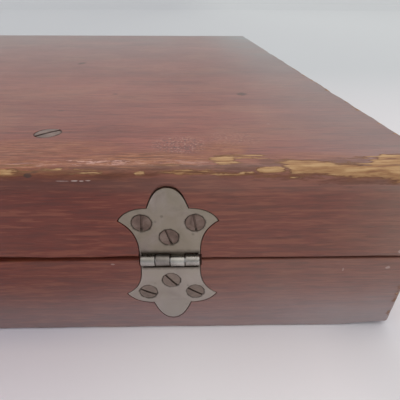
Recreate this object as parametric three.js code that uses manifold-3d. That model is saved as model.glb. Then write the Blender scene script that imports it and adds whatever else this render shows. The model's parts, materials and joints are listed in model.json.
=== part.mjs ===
// A spring-driven pendulum metronome in a flat hinged mahogany case.
// The case is two shallow trays joined by a pair of let-in fleur hinges. The movement, the
// pendulum and the tempo scale are carried inside the lid, which stands upright when it is open.
// Millimetres, +Z up. The origin is the centre of the underside of the closed case, the hinges are
// on the -Y side and the lock is on the +Y side.
import * as THREE from "three";
import { mergeVertices } from "three/addons/utils/BufferGeometryUtils.js";
import Module from "manifold-3d";

const wasm = await Module();
wasm.setup();

// ---------------------------------------------------------------- driving dimensions
const CASE_WIDTH = 300;
const CASE_DEPTH = 340;
const BASE_HEIGHT = 25.5;
const LID_HEIGHT = 24.5;
const SEAM = 0.5; // open joint between the two trays
const WALL = 9;
const PANEL = 4; // thickness of the bottom board and of the top board
const GAP = 0.3; // clearance round a piece that is let in
const LINING = 1;

const HALF_WIDTH = CASE_WIDTH / 2;
const HALF_DEPTH = CASE_DEPTH / 2;
const INNER_X = HALF_WIDTH - WALL;
const INNER_Y = HALF_DEPTH - WALL;
const LID_FOOT = BASE_HEIGHT + SEAM;
const CASE_TOP = LID_FOOT + LID_HEIGHT;
const LID_CEILING = CASE_TOP - PANEL;
const AXIS_Z = BASE_HEIGHT + SEAM / 2;

const HINGE_X = 88.5; // centre of each hinge, left and right of the middle
const LEAF = {
  thickness: 1.2,
  foot: 0.5,
  neck: 7.5,
  neckTop: 3,
  tipX: 12,
  tipZ: 11.8,
  shoulderX: 5,
  shoulderZ: 15.2,
  apex: { lid: 20.5, base: 21.3 },
};
const RECESS_APEX = 21.6; // the recess is cut a little past the leaf's point
const FOLD = { halfWidth: 6.9, low: 1.2, high: 2.5, depth: 0.6 }; // groove over the barrel
const KNUCKLE = { radius: 1.5, bore: 0.85, length: 3.5, pitch: 3.7 };
const BARREL_HALF = KNUCKLE.pitch * 2;
const PIN_RADIUS = 0.65;
const LEAF_SCREW = { head: 2.3, shank: 1.1, headDepth: 1.15, length: 7.2, slot: 0.6 };
const LEAF_SCREW_PLACES = [
  [-6.25, 11.2],
  [6.25, 11.2],
  [0, 7],
];
const BOARD_SCREW = { head: 4.05, shank: 2, headDepth: 2.4, length: 9.4, slot: 1.1 };

const LOCK = { halfWidth: 16, thickness: 5, floor: 9, boltTravel: 5 };
const ESCUTCHEON = { halfWidth: 7, halfHeight: 8.5, thickness: KNUCKLE.radius, centre: 14.5 };
const KEYHOLE = { radius: 1.6, slot: 0.8, drop: 5 };

// The movement, seen from inside the lid. Heights are those of the closed case.
const PLATE = { left: -67, right: 20, bottom: -128, top: -74, thickness: 1.5, corner: 5 };
const BOARD = { halfWidth: 72, bottom: -157, top: -68, thickness: 6 };
const BOARD_SCREW_PLACE = { x: 55, y: -146.5 };
const BACK_PLATE_Z = LID_CEILING - BOARD.thickness - PLATE.thickness;
const PLATE_SPACE = 14;
const FRONT_PLATE_Z = BACK_PLATE_Z - PLATE_SPACE - PLATE.thickness;
const PILLAR = { radius: 3, inset: 6 };

const PENDULUM_PIVOT = new THREE.Vector2(0, -84);
const ESCAPE = { teeth: 12, radius: 11, root: 7, tip: 0.2, foot: 0.8 };
const PALLET = { angle: THREE.MathUtils.degToRad(22.5), pin: 0.6, clearance: 0.8 };
const GREAT_WHEEL = { teeth: 48, module: 0.85 };
const SECOND_PINION = { teeth: 8, module: 0.85 };
const SECOND_WHEEL = { teeth: 40, module: 0.7 };
const ESCAPE_PINION = { teeth: 8, module: 0.7 };
const RATCHET = { teeth: 24, radius: 6.5, root: 5.4 };
const BARREL_DRUM = { radius: 17, wall: 0.8 };
const WINDING_ARBOR = 2.5;
const ARBOR = 1.2;
const PIVOT = 0.8;

const ROD = { halfWidth: 1.2, back: 18.2, front: 17.5, bottom: -136, top: 138 };
const BOB = { radius: 14, back: 22.6, front: 12.4, drop: 48 };
const WEIGHT = { back: 20.7, front: 15.1, height: 15, wide: 7.8, narrow: 6.5, top: -24 };
const SCALE_BOARD = { bottom: -67.5, top: 146, wide: 24, narrow: 18, thickness: 20 };
const SCALE_PLATE = { bottom: -66, top: 130, wide: 18, narrow: 14, thickness: 1 };

// ---------------------------------------------------------------- solids
/** A closed three.js geometry as a solid, with its faces pointing out. */
function toSolid(geometry) {
  const bare = new THREE.BufferGeometry();
  const source = geometry.index ? geometry.toNonIndexed() : geometry;
  bare.setAttribute("position", source.getAttribute("position"));
  const merged = mergeVertices(bare, 1e-4);
  const vertProperties = new Float32Array(merged.attributes.position.array);
  const triVerts = new Uint32Array(merged.index.array);
  if (signedVolume(vertProperties, triVerts) < 0) {
    for (let i = 0; i < triVerts.length; i += 3) {
      [triVerts[i + 1], triVerts[i + 2]] = [triVerts[i + 2], triVerts[i + 1]];
    }
  }
  return new wasm.Manifold(new wasm.Mesh({ numProp: 3, vertProperties, triVerts }));
}

function signedVolume(positions, triangles) {
  const corner = (i) => new THREE.Vector3().fromArray(positions, 3 * triangles[i]);
  let volume = 0;
  for (let i = 0; i < triangles.length; i += 3) {
    volume += corner(i).dot(corner(i + 1).cross(corner(i + 2)));
  }
  return volume;
}

function toGeometry(solid) {
  const mesh = solid.getMesh();
  return new THREE.BufferGeometry()
    .setAttribute("position", new THREE.BufferAttribute(mesh.vertProperties, 3))
    .setIndex(new THREE.BufferAttribute(mesh.triVerts, 1));
}

function join(...geometries) {
  return toGeometry(geometries.map(toSolid).reduce((all, next) => all.add(next)));
}

function cut(body, ...tools) {
  return toGeometry(tools.map(toSolid).reduce((left, tool) => left.subtract(tool), toSolid(body)));
}

function box([x0, x1], [y0, y1], [z0, z1]) {
  return new THREE.BoxGeometry(x1 - x0, y1 - y0, z1 - z0).translate(
    (x0 + x1) / 2,
    (y0 + y1) / 2,
    (z0 + z1) / 2,
  );
}

/** A flat shape in X and Y, given thickness from z0 to z1. */
function prism(shape, z0, z1, curveSegments = 5) {
  const depth = z1 - z0;
  return new THREE.ExtrudeGeometry(shape, { depth, bevelEnabled: false, curveSegments }).translate(
    0,
    0,
    z0,
  );
}

/** A flat shape whose second axis points up, given thickness from y0 to y1. */
function uprightPrism(shape, y0, y1, curveSegments = 5) {
  return prism(shape, -y1, -y0, curveSegments).rotateX(Math.PI / 2);
}

/** A turned solid about Z: the profile is a list of [radius, z]. */
function turned(profile, segments = 20) {
  const points = profile.map(([radius, z]) => new THREE.Vector2(radius, z));
  return new THREE.LatheGeometry(points, segments).rotateX(Math.PI / 2);
}

/** A turned ring or tube about Z. */
function ring(outer, inner, z0, z1, segments = 16) {
  const profile = [
    [inner, z0],
    [outer, z0],
    [outer, z1],
    [inner, z1],
    [inner, z0],
  ];
  return turned(profile, segments);
}

function rod(radius, z0, z1, segments = 12) {
  return new THREE.CylinderGeometry(radius, radius, z1 - z0, segments)
    .rotateX(Math.PI / 2)
    .translate(0, 0, (z0 + z1) / 2);
}

/** A cylinder along X. */
function crossRod(radius, x0, x1, segments = 14) {
  return rod(radius, x0, x1, segments).rotateY(Math.PI / 2);
}

function polygon(points) {
  return new THREE.Shape(points.map(([x, y]) => new THREE.Vector2(x, y)));
}

function circle(radius, x = 0, y = 0) {
  return new THREE.Shape().absarc(x, y, radius, 0, 2 * Math.PI);
}

function roundedRectangle(left, right, bottom, top, corner) {
  return new THREE.Shape()
    .moveTo(left + corner, bottom)
    .lineTo(right - corner, bottom)
    .absarc(right - corner, bottom + corner, corner, -Math.PI / 2, 0)
    .lineTo(right, top - corner)
    .absarc(right - corner, top - corner, corner, 0, Math.PI / 2)
    .lineTo(left + corner, top)
    .absarc(left + corner, top - corner, corner, Math.PI / 2, Math.PI)
    .lineTo(left, bottom + corner)
    .absarc(left + corner, bottom + corner, corner, Math.PI, 1.5 * Math.PI);
}

// ---------------------------------------------------------------- materials
function finish(color, roughness, metalness = 0) {
  return new THREE.MeshStandardMaterial({ color, roughness, metalness });
}

const mahogany = finish(0x6b3428, 0.45);
const darkMahogany = finish(0x4f2620, 0.5);
const baize = finish(0x2f4a35, 0.95);
const nickel = finish(0x8d867f, 0.42, 0.9);
const steel = finish(0x7c7a78, 0.3, 1);
const screwSteel = finish(0x6a5f58, 0.5, 0.8);
const brass = finish(0xb08d4c, 0.32, 1);
const silvered = finish(0xcac6ba, 0.4, 0.6);

function part(name, geometry, material) {
  const mesh = new THREE.Mesh(geometry, material);
  mesh.name = name;
  return mesh;
}

function group(...children) {
  const all = new THREE.Group();
  children.forEach((child) => all.add(child));
  return all;
}

// ---------------------------------------------------------------- hinges
/** The outline of a leaf or of its recess: barrel line along X, point upwards. */
function leafOutline(grow, apex) {
  const neck = LEAF.neck + grow;
  const tipX = LEAF.tipX + 1.6 * grow;
  const shoulderX = LEAF.shoulderX + grow;
  const shoulderZ = LEAF.shoulderZ + grow;
  const shape = new THREE.Shape().moveTo(neck, LEAF.foot - 2 * grow).lineTo(neck, LEAF.neckTop);
  const flank = [neck, LEAF.neckTop + 5.2, 9.6 + 1.2 * grow, LEAF.tipZ - 1.4 - grow];
  shape.bezierCurveTo(...flank, tipX, LEAF.tipZ);
  shape.quadraticCurveTo(9.8 + grow, shoulderZ, shoulderX, shoulderZ);
  shape.bezierCurveTo(shoulderX - 0.8, shoulderZ + 3.2, 2.2 + grow, apex, 0, apex);
  shape.bezierCurveTo(-2.2 - grow, apex, 0.8 - shoulderX, shoulderZ + 3.2, -shoulderX, shoulderZ);
  shape.quadraticCurveTo(-9.8 - grow, shoulderZ, -tipX, LEAF.tipZ);
  shape.bezierCurveTo(-flank[2], flank[3], -flank[0], flank[1], -neck, LEAF.neckTop);
  return shape.lineTo(-neck, LEAF.foot - 2 * grow);
}

/** A slotted countersunk screw. Its head is level with z = 0 and it points down. */
function screw({ head, shank, headDepth, length, slot }) {
  const profile = [
    [0, 0],
    [head, 0],
    [head, -0.15],
    [shank, -headDepth],
    [shank * 0.85, -0.75 * length],
    [0, -length],
  ];
  const cutter = box([-slot / 2, slot / 2], [-head - 1, head + 1], [-0.4 * headDepth, 1]);
  return cut(turned(profile, 12), cutter);
}

/** The hole that a screw needs in the wood under its head. */
function pilotHole({ shank, length }, z) {
  return rod(shank + GAP, z - length - 0.2, z, 8);
}

/** The flare that a countersunk head sits in, with its wide end level with z. */
function countersink({ head, shank, headDepth }, z) {
  const wide = head + 0.2;
  const narrow = shank + GAP;
  const profile = [
    [0, z + 1],
    [wide, z + 1],
    [wide, z - 0.15],
    [narrow, z - headDepth - 0.15],
    [narrow, z - headDepth - 1],
    [0, z - headDepth - 1],
  ];
  return turned(profile, 12);
}

/** Turns a piece made pointing down -Z so that it goes into the hinge side, along +Y. */
function intoHingeSide(geometry) {
  return geometry.rotateX(-Math.PI / 2).rotateX(Math.PI);
}

/** One leaf with two of the four knuckles, its barrel centred on the origin. */
function hingeLeaf(apex) {
  const outline = leafOutline(0, apex);
  const plate = uprightPrism(outline, 0, LEAF.thickness);
  const starts = [-2, 0].map((step) => step * KNUCKLE.pitch + 0.1);
  const knuckles = starts.map((x) => crossRod(KNUCKLE.radius, x, x + KNUCKLE.length));
  const spaces = starts
    .map((x) => x + KNUCKLE.pitch)
    .map((x) => crossRod(KNUCKLE.radius + GAP, x - 0.2, x + KNUCKLE.length + 0.2));
  spaces.push(crossRod(KNUCKLE.radius + GAP, -BARREL_HALF - 1, starts[0]));
  const bore = crossRod(KNUCKLE.bore, -BARREL_HALF - 2, BARREL_HALF + 2, 10);
  const fold = box([-FOLD.halfWidth, FOLD.halfWidth], [-1, FOLD.depth], [FOLD.low, FOLD.high]);
  const seats = LEAF_SCREW_PLACES.map(([x, z]) =>
    intoHingeSide(countersink(LEAF_SCREW, 0)).translate(x, 0, z),
  );
  const flat = cut(plate, fold, ...spaces, ...seats, bore);
  return join(flat, ...knuckles.map((one) => cut(one, bore)));
}

/** Everything that one hinge takes out of the wood, for the leaf that points up. */
function hingeRecess() {
  const outline = leafOutline(GAP, RECESS_APEX);
  const places = LEAF_SCREW_PLACES.map(([x, z]) =>
    intoHingeSide(pilotHole(LEAF_SCREW, 0)).translate(x, 0, z),
  );
  return [
    uprightPrism(outline, -1, LEAF.thickness + GAP),
    crossRod(KNUCKLE.radius + GAP, -BARREL_HALF - GAP, BARREL_HALF + GAP),
    ...places,
  ];
}

/** The hinge recesses of a tray: upwards in the lid, turned over in the base. */
function hingeRecesses(turn) {
  return [-HINGE_X, HINGE_X].flatMap((x) =>
    hingeRecess().map((tool) => tool.rotateY(turn).translate(x, -HALF_DEPTH, AXIS_Z)),
  );
}

function hinge(side, x) {
  const lidSide = group();
  const baseSide = group();
  for (const [owner, half] of [
    ["lid", lidSide],
    ["base", baseSide],
  ]) {
    half.add(part(`hinge_${side}_${owner}_leaf`, hingeLeaf(LEAF.apex[owner]), nickel));
    LEAF_SCREW_PLACES.forEach(([sx, sz], index) => {
      const name = `hinge_${side}_${owner}_screw_${index + 1}`;
      const one = part(name, intoHingeSide(screw(LEAF_SCREW)), screwSteel);
      one.position.set(sx, 0.05, sz);
      one.rotation.y = 0.4 * index - 0.3;
      half.add(one);
    });
    half.position.set(x, -HALF_DEPTH, AXIS_Z);
  }
  baseSide.rotation.y = Math.PI;
  const pin = crossRod(PIN_RADIUS, -BARREL_HALF + 0.2, BARREL_HALF - 0.2, 10);
  baseSide.add(part(`hinge_${side}_pin`, pin, steel));
  return { lidSide, baseSide };
}

// ---------------------------------------------------------------- case
/** The four mitred rails of a tray, seen from above. */
const RAIL_PLANS = {
  hinge: [
    [-HALF_WIDTH, -HALF_DEPTH],
    [HALF_WIDTH, -HALF_DEPTH],
    [INNER_X, -INNER_Y],
    [-INNER_X, -INNER_Y],
  ],
  right: [
    [HALF_WIDTH, -HALF_DEPTH],
    [HALF_WIDTH, HALF_DEPTH],
    [INNER_X, INNER_Y],
    [INNER_X, -INNER_Y],
  ],
  lock: [
    [HALF_WIDTH, HALF_DEPTH],
    [-HALF_WIDTH, HALF_DEPTH],
    [-INNER_X, INNER_Y],
    [INNER_X, INNER_Y],
  ],
  left: [
    [-HALF_WIDTH, HALF_DEPTH],
    [-HALF_WIDTH, -HALF_DEPTH],
    [-INNER_X, -INNER_Y],
    [-INNER_X, INNER_Y],
  ],
};

function rails(tray, z0, z1, tools) {
  return Object.entries(RAIL_PLANS).map(([side, plan]) => {
    const board = prism(polygon(plan), z0, z1);
    const geometry = tools[side] ? cut(board, ...tools[side]) : board;
    return part(`${tray}_${side}_rail`, geometry, mahogany);
  });
}

function keyhole(centre) {
  const { radius, slot, drop } = KEYHOLE;
  const round = circle(radius, 0, centre);
  const leg = polygon([
    [-slot, centre],
    [-slot, centre - drop],
    [slot, centre - drop],
    [slot, centre],
  ]);
  const y0 = INNER_Y + 1;
  const y1 = HALF_DEPTH + 5;
  return [uprightPrism(round, y0, y1, 6), uprightPrism(leg, y0, y1)];
}

const LOCK_TOP = BASE_HEIGHT - GAP;
const LOCK_BACK = INNER_Y + GAP;
const LOCK_FACE = LOCK_BACK + LOCK.thickness;
const STAPLE = { halfWidth: 0.8, y0: LOCK_BACK + 1, y1: LOCK_BACK + 4, bottom: 18 };
const BOLT = { y0: LOCK_BACK + 1.9, y1: LOCK_BACK + 3.1, z0: 19.8, z1: 22.2 };

function lockPocket() {
  const reach = LOCK.halfWidth + GAP;
  return box(
    [-reach, reach],
    [INNER_Y - 1, LOCK_FACE + GAP],
    [LOCK.floor - GAP, BASE_HEIGHT + 1],
  );
}

function lockCase() {
  const body = box([-LOCK.halfWidth, LOCK.halfWidth], [LOCK_BACK, LOCK_FACE], [LOCK.floor, LOCK_TOP]);
  const boltWay = box([-14, 8], [BOLT.y0 - GAP, BOLT.y1 + GAP], [BOLT.z0 - GAP, BOLT.z1 + GAP]);
  const stapleWay = box(
    [-STAPLE.halfWidth - 0.7, STAPLE.halfWidth + 0.7],
    [STAPLE.y0 - 0.7, STAPLE.y1 + 0.5],
    [STAPLE.bottom - 0.6, LOCK_TOP + 1],
  );
  return cut(body, boltWay, stapleWay);
}

function lockBolt() {
  return box([-12, -2], [BOLT.y0, BOLT.y1], [BOLT.z0, BOLT.z1]);
}

const STRIKE = { halfWidth: 12, thickness: 1.2, y0: INNER_Y + 0.8, y1: HALF_DEPTH - 1.6 };

/** The plate under the lid's rim and the staple that drops into the lock. */
function strikePlate() {
  const { halfWidth, thickness, y0, y1 } = STRIKE;
  const plate = box([-halfWidth, halfWidth], [y0, y1], [LID_FOOT, LID_FOOT + thickness]);
  const reach = [STAPLE.y0, STAPLE.y1];
  const tongue = box([-STAPLE.halfWidth, STAPLE.halfWidth], reach, [STAPLE.bottom, LID_FOOT + 0.5]);
  const eye = box([-2, 2], [BOLT.y0 - GAP, BOLT.y1 + GAP], [BOLT.z0 - 0.4, BOLT.z1 + 0.4]);
  return cut(join(plate, tongue), eye);
}

function strikeRecess() {
  const { halfWidth, thickness, y0, y1 } = STRIKE;
  const reach = halfWidth + GAP;
  const top = LID_FOOT + thickness + GAP;
  return box([-reach, reach], [y0 - GAP, y1 + GAP], [LID_FOOT - 1, top]);
}

function escutcheon() {
  const { halfWidth, halfHeight, thickness, centre } = ESCUTCHEON;
  const shape = new THREE.Shape().absellipse(0, centre, halfWidth, halfHeight, 0, 2 * Math.PI);
  const plate = uprightPrism(shape, HALF_DEPTH, HALF_DEPTH + thickness, 10);
  return cut(plate, ...keyhole(centre + 1.5));
}

function caseBoard(z0, z1) {
  return box([-HALF_WIDTH, HALF_WIDTH], [-HALF_DEPTH, HALF_DEPTH], [z0, z1]);
}

function base(hinges) {
  const tools = {
    hinge: hingeRecesses(Math.PI),
    lock: [lockPocket(), ...keyhole(ESCUTCHEON.centre + 1.5)],
  };
  const reachX = INNER_X - 0.5;
  const reachY = INNER_Y - 0.5;
  const lining = box([-reachX, reachX], [-reachY, reachY], [PANEL, PANEL + LINING]);
  return group(
    part("base_bottom_board", caseBoard(0, PANEL), mahogany),
    ...rails("base", PANEL, BASE_HEIGHT, tools),
    part("base_lining", lining, baize),
    part("lock_case", lockCase(), steel),
    part("lock_bolt", lockBolt(), steel),
    part("lock_escutcheon", escutcheon(), nickel),
    ...hinges.map((one) => one.baseSide),
  );
}

function boardScrewTools(z) {
  return [-1, 1].flatMap((side) =>
    [pilotHole(BOARD_SCREW, z), countersink(BOARD_SCREW, z)].map((tool) =>
      tool.translate(side * BOARD_SCREW_PLACE.x, BOARD_SCREW_PLACE.y, 0),
    ),
  );
}

function lid(hinges) {
  const recesses = hingeRecesses(0);
  const tools = { hinge: recesses, lock: [strikeRecess()] };
  const top = cut(caseBoard(LID_CEILING, CASE_TOP), ...recesses, ...boardScrewTools(CASE_TOP));
  return group(
    part("lid_top_board", top, mahogany),
    ...rails("lid", LID_FOOT, LID_CEILING, tools),
    part("lock_strike_plate", strikePlate(), nickel),
    ...hinges.map((one) => one.lidSide),
  );
}

// ---------------------------------------------------------------- wheels
const PRESSURE_ANGLE = THREE.MathUtils.degToRad(22);
const BACKLASH = 0.12; // taken off each tooth's half thickness

function involute(angle) {
  return Math.tan(angle) - angle;
}

/** A spur wheel's outline with a tooth centred on the angle phase. */
function gearShape({ teeth, module }, phase, addendum = 0.9, dedendum = 1.25) {
  const pitchRadius = (teeth * module) / 2;
  const baseRadius = pitchRadius * Math.cos(PRESSURE_ANGLE);
  const halfTooth = Math.PI / (2 * teeth) - BACKLASH / pitchRadius;
  const halfAngleAt = (radius) => {
    const pressure = Math.acos(Math.min(1, baseRadius / radius));
    return halfTooth + involute(PRESSURE_ANGLE) - involute(pressure);
  };
  const radii = [pitchRadius - dedendum * module, pitchRadius + addendum * module];
  const points = [];
  for (let tooth = 0; tooth < teeth; tooth++) {
    const centre = phase + (2 * Math.PI * tooth) / teeth;
    const rising = radii.map((radius) => [radius, centre - halfAngleAt(radius)]);
    const falling = radii.map((radius) => [radius, centre + halfAngleAt(radius)]).reverse();
    for (const [radius, angle] of [...rising, ...falling]) {
      points.push([radius * Math.cos(angle), radius * Math.sin(angle)]);
    }
  }
  return polygon(points);
}

/** The phase of a wheel that meshes with another whose phase is given. */
function meshingPhase(driver, driverPhase, driven, towards) {
  const turned = ((towards - driverPhase) * driver.teeth) / (2 * Math.PI);
  const pitch = (2 * Math.PI) / driven.teeth;
  return towards + Math.PI + (turned + 0.5) * pitch;
}

/** Openings between the arms of a crossed-out wheel. */
function crossings(arms, inner, outer, armWidth) {
  return Array.from({ length: arms }, (_, index) => {
    const start = (2 * Math.PI * index) / arms;
    const end = (2 * Math.PI * (index + 1)) / arms;
    const outerHalf = armWidth / 2 / outer;
    const innerHalf = armWidth / 2 / inner;
    return new THREE.Path()
      .absarc(0, 0, outer, start + outerHalf, end - outerHalf, false)
      .absarc(0, 0, inner, end - innerHalf, start + innerHalf, true);
  });
}

function withHole(shape, radius) {
  shape.holes.push(new THREE.Path().absarc(0, 0, radius, 0, 2 * Math.PI));
  return shape;
}

function centreDistance(a, b) {
  return (a.teeth * a.module + b.teeth * b.module) / 2;
}

function stepFrom(origin, distance, degrees) {
  const angle = THREE.MathUtils.degToRad(degrees);
  return new THREE.Vector2(Math.cos(angle), Math.sin(angle)).multiplyScalar(distance).add(origin);
}

const PALLET_REACH = ESCAPE.radius + PALLET.clearance;
const SECOND_DIRECTION = 182;
const BARREL_DIRECTION = 190;
const escapeCentre = stepFrom(PENDULUM_PIVOT, PALLET_REACH / Math.cos(PALLET.angle), -90);
const secondCentre = stepFrom(
  escapeCentre,
  centreDistance(SECOND_WHEEL, ESCAPE_PINION),
  SECOND_DIRECTION,
);
const barrelCentre = stepFrom(
  secondCentre,
  centreDistance(GREAT_WHEEL, SECOND_PINION),
  BARREL_DIRECTION,
);

// Levels of the wheels between the plates.
const LEVEL = {
  greatWheel: [35.5, 37.5],
  drum: [29, 35.2],
  secondWheel: [26.5, 28],
  secondPinion: [34.5, 38.5],
  escapePinion: [25.5, 29],
  escapeWheel: [32, 33.5],
  anchor: [34.2, 35.7],
  ratchet: [21.3, 23],
};
const PIVOT_BACK = BACK_PLATE_Z + PLATE.thickness - 0.2;
const PIVOT_FRONT = FRONT_PLATE_Z + 0.2;
const SHOULDER_BACK = BACK_PLATE_Z - GAP;
const SHOULDER_FRONT = FRONT_PLATE_Z + PLATE.thickness + GAP;

/** An arbor with a pinion cut on it, and a pivot at each end. */
function pinionArbor(pinion, phase, [z0, z1]) {
  return join(
    rod(PIVOT, PIVOT_FRONT, PIVOT_BACK, 8),
    rod(ARBOR, SHOULDER_FRONT, SHOULDER_BACK, 8),
    prism(gearShape(pinion, phase), z0, z1),
  );
}

function escapeWheel() {
  const { teeth, radius, root, tip, foot } = ESCAPE;
  const points = [];
  for (let tooth = 0; tooth < teeth; tooth++) {
    const centre = (2 * Math.PI * tooth) / teeth;
    for (const [reach, half] of [
      [root, -foot],
      [radius, -tip],
      [radius, tip],
      [root, foot],
    ]) {
      const angle = centre + half / reach;
      points.push([reach * Math.cos(angle), reach * Math.sin(angle)]);
    }
  }
  const shape = withHole(polygon(points), ARBOR + GAP);
  shape.holes.push(...crossings(4, 3, 5.6, 1.3));
  return prism(shape, ...LEVEL.escapeWheel, 3);
}

function secondWheel(phase) {
  const shape = withHole(gearShape(SECOND_WHEEL, phase), ARBOR + GAP);
  shape.holes.push(...crossings(4, 4, 11, 2));
  return prism(shape, ...LEVEL.secondWheel, 4);
}

function barrelDrum() {
  const { radius, wall } = BARREL_DRUM;
  const [z0, z1] = LEVEL.drum;
  const profile = [
    [WINDING_ARBOR + GAP, z0],
    [radius, z0],
    [radius, z1],
    [radius - wall, z1],
    [radius - wall, z0 + wall],
    [WINDING_ARBOR + GAP, z0 + wall],
    [WINDING_ARBOR + GAP, z0],
  ];
  return turned(profile, 24);
}

/** A flat spiral strip coiled between the winding arbor and the drum's wall. */
function mainspring() {
  const turns = 5;
  const steps = turns * 12;
  const thickness = 0.5;
  const inner = WINDING_ARBOR + 0.8;
  const outer = BARREL_DRUM.radius - BARREL_DRUM.wall - 0.8;
  const spiral = (offset) =>
    Array.from({ length: steps + 1 }, (_, i) => {
      const angle = (2 * Math.PI * turns * i) / steps;
      const radius = inner + ((outer - inner) * i) / steps + offset;
      return [radius * Math.cos(angle), radius * Math.sin(angle)];
    });
  const [z0, z1] = LEVEL.drum;
  const outline = [...spiral(0), ...spiral(thickness).reverse()];
  return prism(polygon(outline), z0 + BARREL_DRUM.wall + GAP, z1 - GAP);
}

/** The winding arbor with its ratchet wheel and the square that takes the key. */
function windingArbor() {
  const { teeth, radius, root } = RATCHET;
  const points = Array.from({ length: teeth }, (_, tooth) => {
    const angle = (2 * Math.PI * tooth) / teeth + Math.PI / 2;
    const drop = angle + 0.12 / radius;
    return [
      [radius * Math.cos(angle), radius * Math.sin(angle)],
      [root * Math.cos(drop), root * Math.sin(drop)],
    ];
  }).flat();
  return join(
    rod(1.2, SHOULDER_BACK - 0.5, PIVOT_BACK, 12),
    rod(WINDING_ARBOR, LEVEL.ratchet[1] - 0.5, SHOULDER_BACK),
    prism(polygon(points), ...LEVEL.ratchet),
    box([-1.5, 1.5], [-1.5, 1.5], [12, LEVEL.ratchet[0] + 0.5]),
  );
}

const KEY = { hub: 4, hubFront: 9.5, hubBack: 17.5, reach: 13, wingFront: 6.5, wingBack: 14 };

/** A thumb key: a socketed hub between two rounded wings. */
function windingKey() {
  const { hub, hubFront, hubBack, reach, wingFront, wingBack } = KEY;
  const bend = (wingBack - wingFront) / 2;
  const wings = roundedRectangle(-reach, reach, wingFront, wingBack, bend - 0.25);
  const socket = box([-1.8, 1.8], [-1.8, 1.8], [11.6, hubBack + 1]);
  return cut(join(rod(hub, hubFront, hubBack, 16), uprightPrism(wings, -1.25, 1.25)), socket);
}

/** The pawl that holds the ratchet: a lever whose nose drops between two teeth. */
const CLICK = { pivot: new THREE.Vector2(-11, 8.2), eye: 2.2, hole: 1.3 };
const CLICK_LEVER = [
  [-0.35, 5.85],
  [-0.35, 7.7],
  [-10.5, 9.8],
  [-10.5, 6.6],
  [-2.2, 7],
];

function click() {
  const { pivot, eye, hole } = CLICK;
  const [z0, z1] = LEVEL.ratchet;
  const lever = prism(polygon(CLICK_LEVER), z0, z1).translate(-pivot.x, -pivot.y, 0);
  return cut(join(lever, rod(eye, z0, z1, 16)), rod(hole, z0 - 1, z1 + 1, 12));
}

// ---------------------------------------------------------------- movement plates
const PILLAR_PLACES = [
  [PLATE.left + PILLAR.inset, PLATE.bottom + PILLAR.inset],
  [PLATE.right - PILLAR.inset, PLATE.bottom + PILLAR.inset],
  [PLATE.right - PILLAR.inset, PLATE.top - PILLAR.inset],
  [PLATE.left + PILLAR.inset, PLATE.top - PILLAR.inset],
];

/** A movement plate with its pivot holes, each a pair of centre and radius. */
function plateShape(holes) {
  const shape = roundedRectangle(PLATE.left, PLATE.right, PLATE.bottom, PLATE.top, PLATE.corner);
  for (const [centre, radius] of holes) {
    shape.holes.push(new THREE.Path().absarc(centre.x, centre.y, radius, 0, 2 * Math.PI));
  }
  return shape;
}

/** The back plate, with the four pillars riveted into it. */
function backPlate() {
  const holes = [
    [PENDULUM_PIVOT, PIVOT + GAP],
    [escapeCentre, PIVOT + GAP],
    [secondCentre, PIVOT + GAP],
    [barrelCentre, 1.2 + GAP],
  ];
  const plate = prism(plateShape(holes), BACK_PLATE_Z, BACK_PLATE_Z + PLATE.thickness, 3);
  const foot = FRONT_PLATE_Z + PLATE.thickness;
  const pillars = PILLAR_PLACES.map(([x, y]) =>
    rod(PILLAR.radius, foot, BACK_PLATE_Z + 0.5).translate(x, y, 0),
  );
  return join(plate, ...pillars);
}

function frontPlate() {
  const clickPivot = barrelCentre.clone().add(CLICK.pivot);
  const holes = [
    [PENDULUM_PIVOT, 1.6],
    [escapeCentre, PIVOT + GAP],
    [secondCentre, PIVOT + GAP],
    [barrelCentre, WINDING_ARBOR + GAP + 0.1],
  ];
  const plate = prism(plateShape(holes), FRONT_PLATE_Z, FRONT_PLATE_Z + PLATE.thickness, 3);
  const stud = rod(1, LEVEL.ratchet[0] - 0.6, FRONT_PLATE_Z + 0.5, 12);
  return join(plate, stud.translate(clickPivot.x, clickPivot.y, 0));
}

function movementBoard() {
  const { halfWidth, bottom, top, thickness } = BOARD;
  const shape = roundedRectangle(-halfWidth, halfWidth, bottom, top, 3);
  const board = prism(shape, LID_CEILING - thickness, LID_CEILING, 3);
  return cut(board, ...boardScrewTools(CASE_TOP));
}

// ---------------------------------------------------------------- pendulum
/** The anchor: a small plate on the pendulum arbor with two pallet pins. */
function anchor() {
  const [z0, z1] = LEVEL.anchor;
  const drop = escapeCentre.y - PENDULUM_PIVOT.y;
  const pins = [-1, 1].map((side) => [
    side * PALLET_REACH * Math.sin(PALLET.angle),
    drop + PALLET_REACH * Math.cos(PALLET.angle),
  ]);
  const arms = pins.map(([x, y]) => {
    const length = Math.hypot(x, y);
    const arm = box([0, length], [-1.1, 1.1], [z0, z1]).rotateZ(Math.atan2(y, x));
    const end = rod(1.2, z0, z1, 12).translate(x, y, 0);
    const pin = rod(PALLET.pin, LEVEL.escapeWheel[0] - 1, z0 + 0.5, 12).translate(x, y, 0);
    return [arm, end, pin];
  });
  const hub = rod(2.8, z0, z1, 20);
  return cut(join(hub, ...arms.flat()), rod(1.25 + GAP, z0 - 1, z1 + 1, 16));
}

function palletArbor() {
  return join(
    rod(PIVOT, SHOULDER_BACK - 0.5, PIVOT_BACK, 12),
    rod(1.25, 14.6, SHOULDER_BACK, 16),
  );
}

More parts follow.
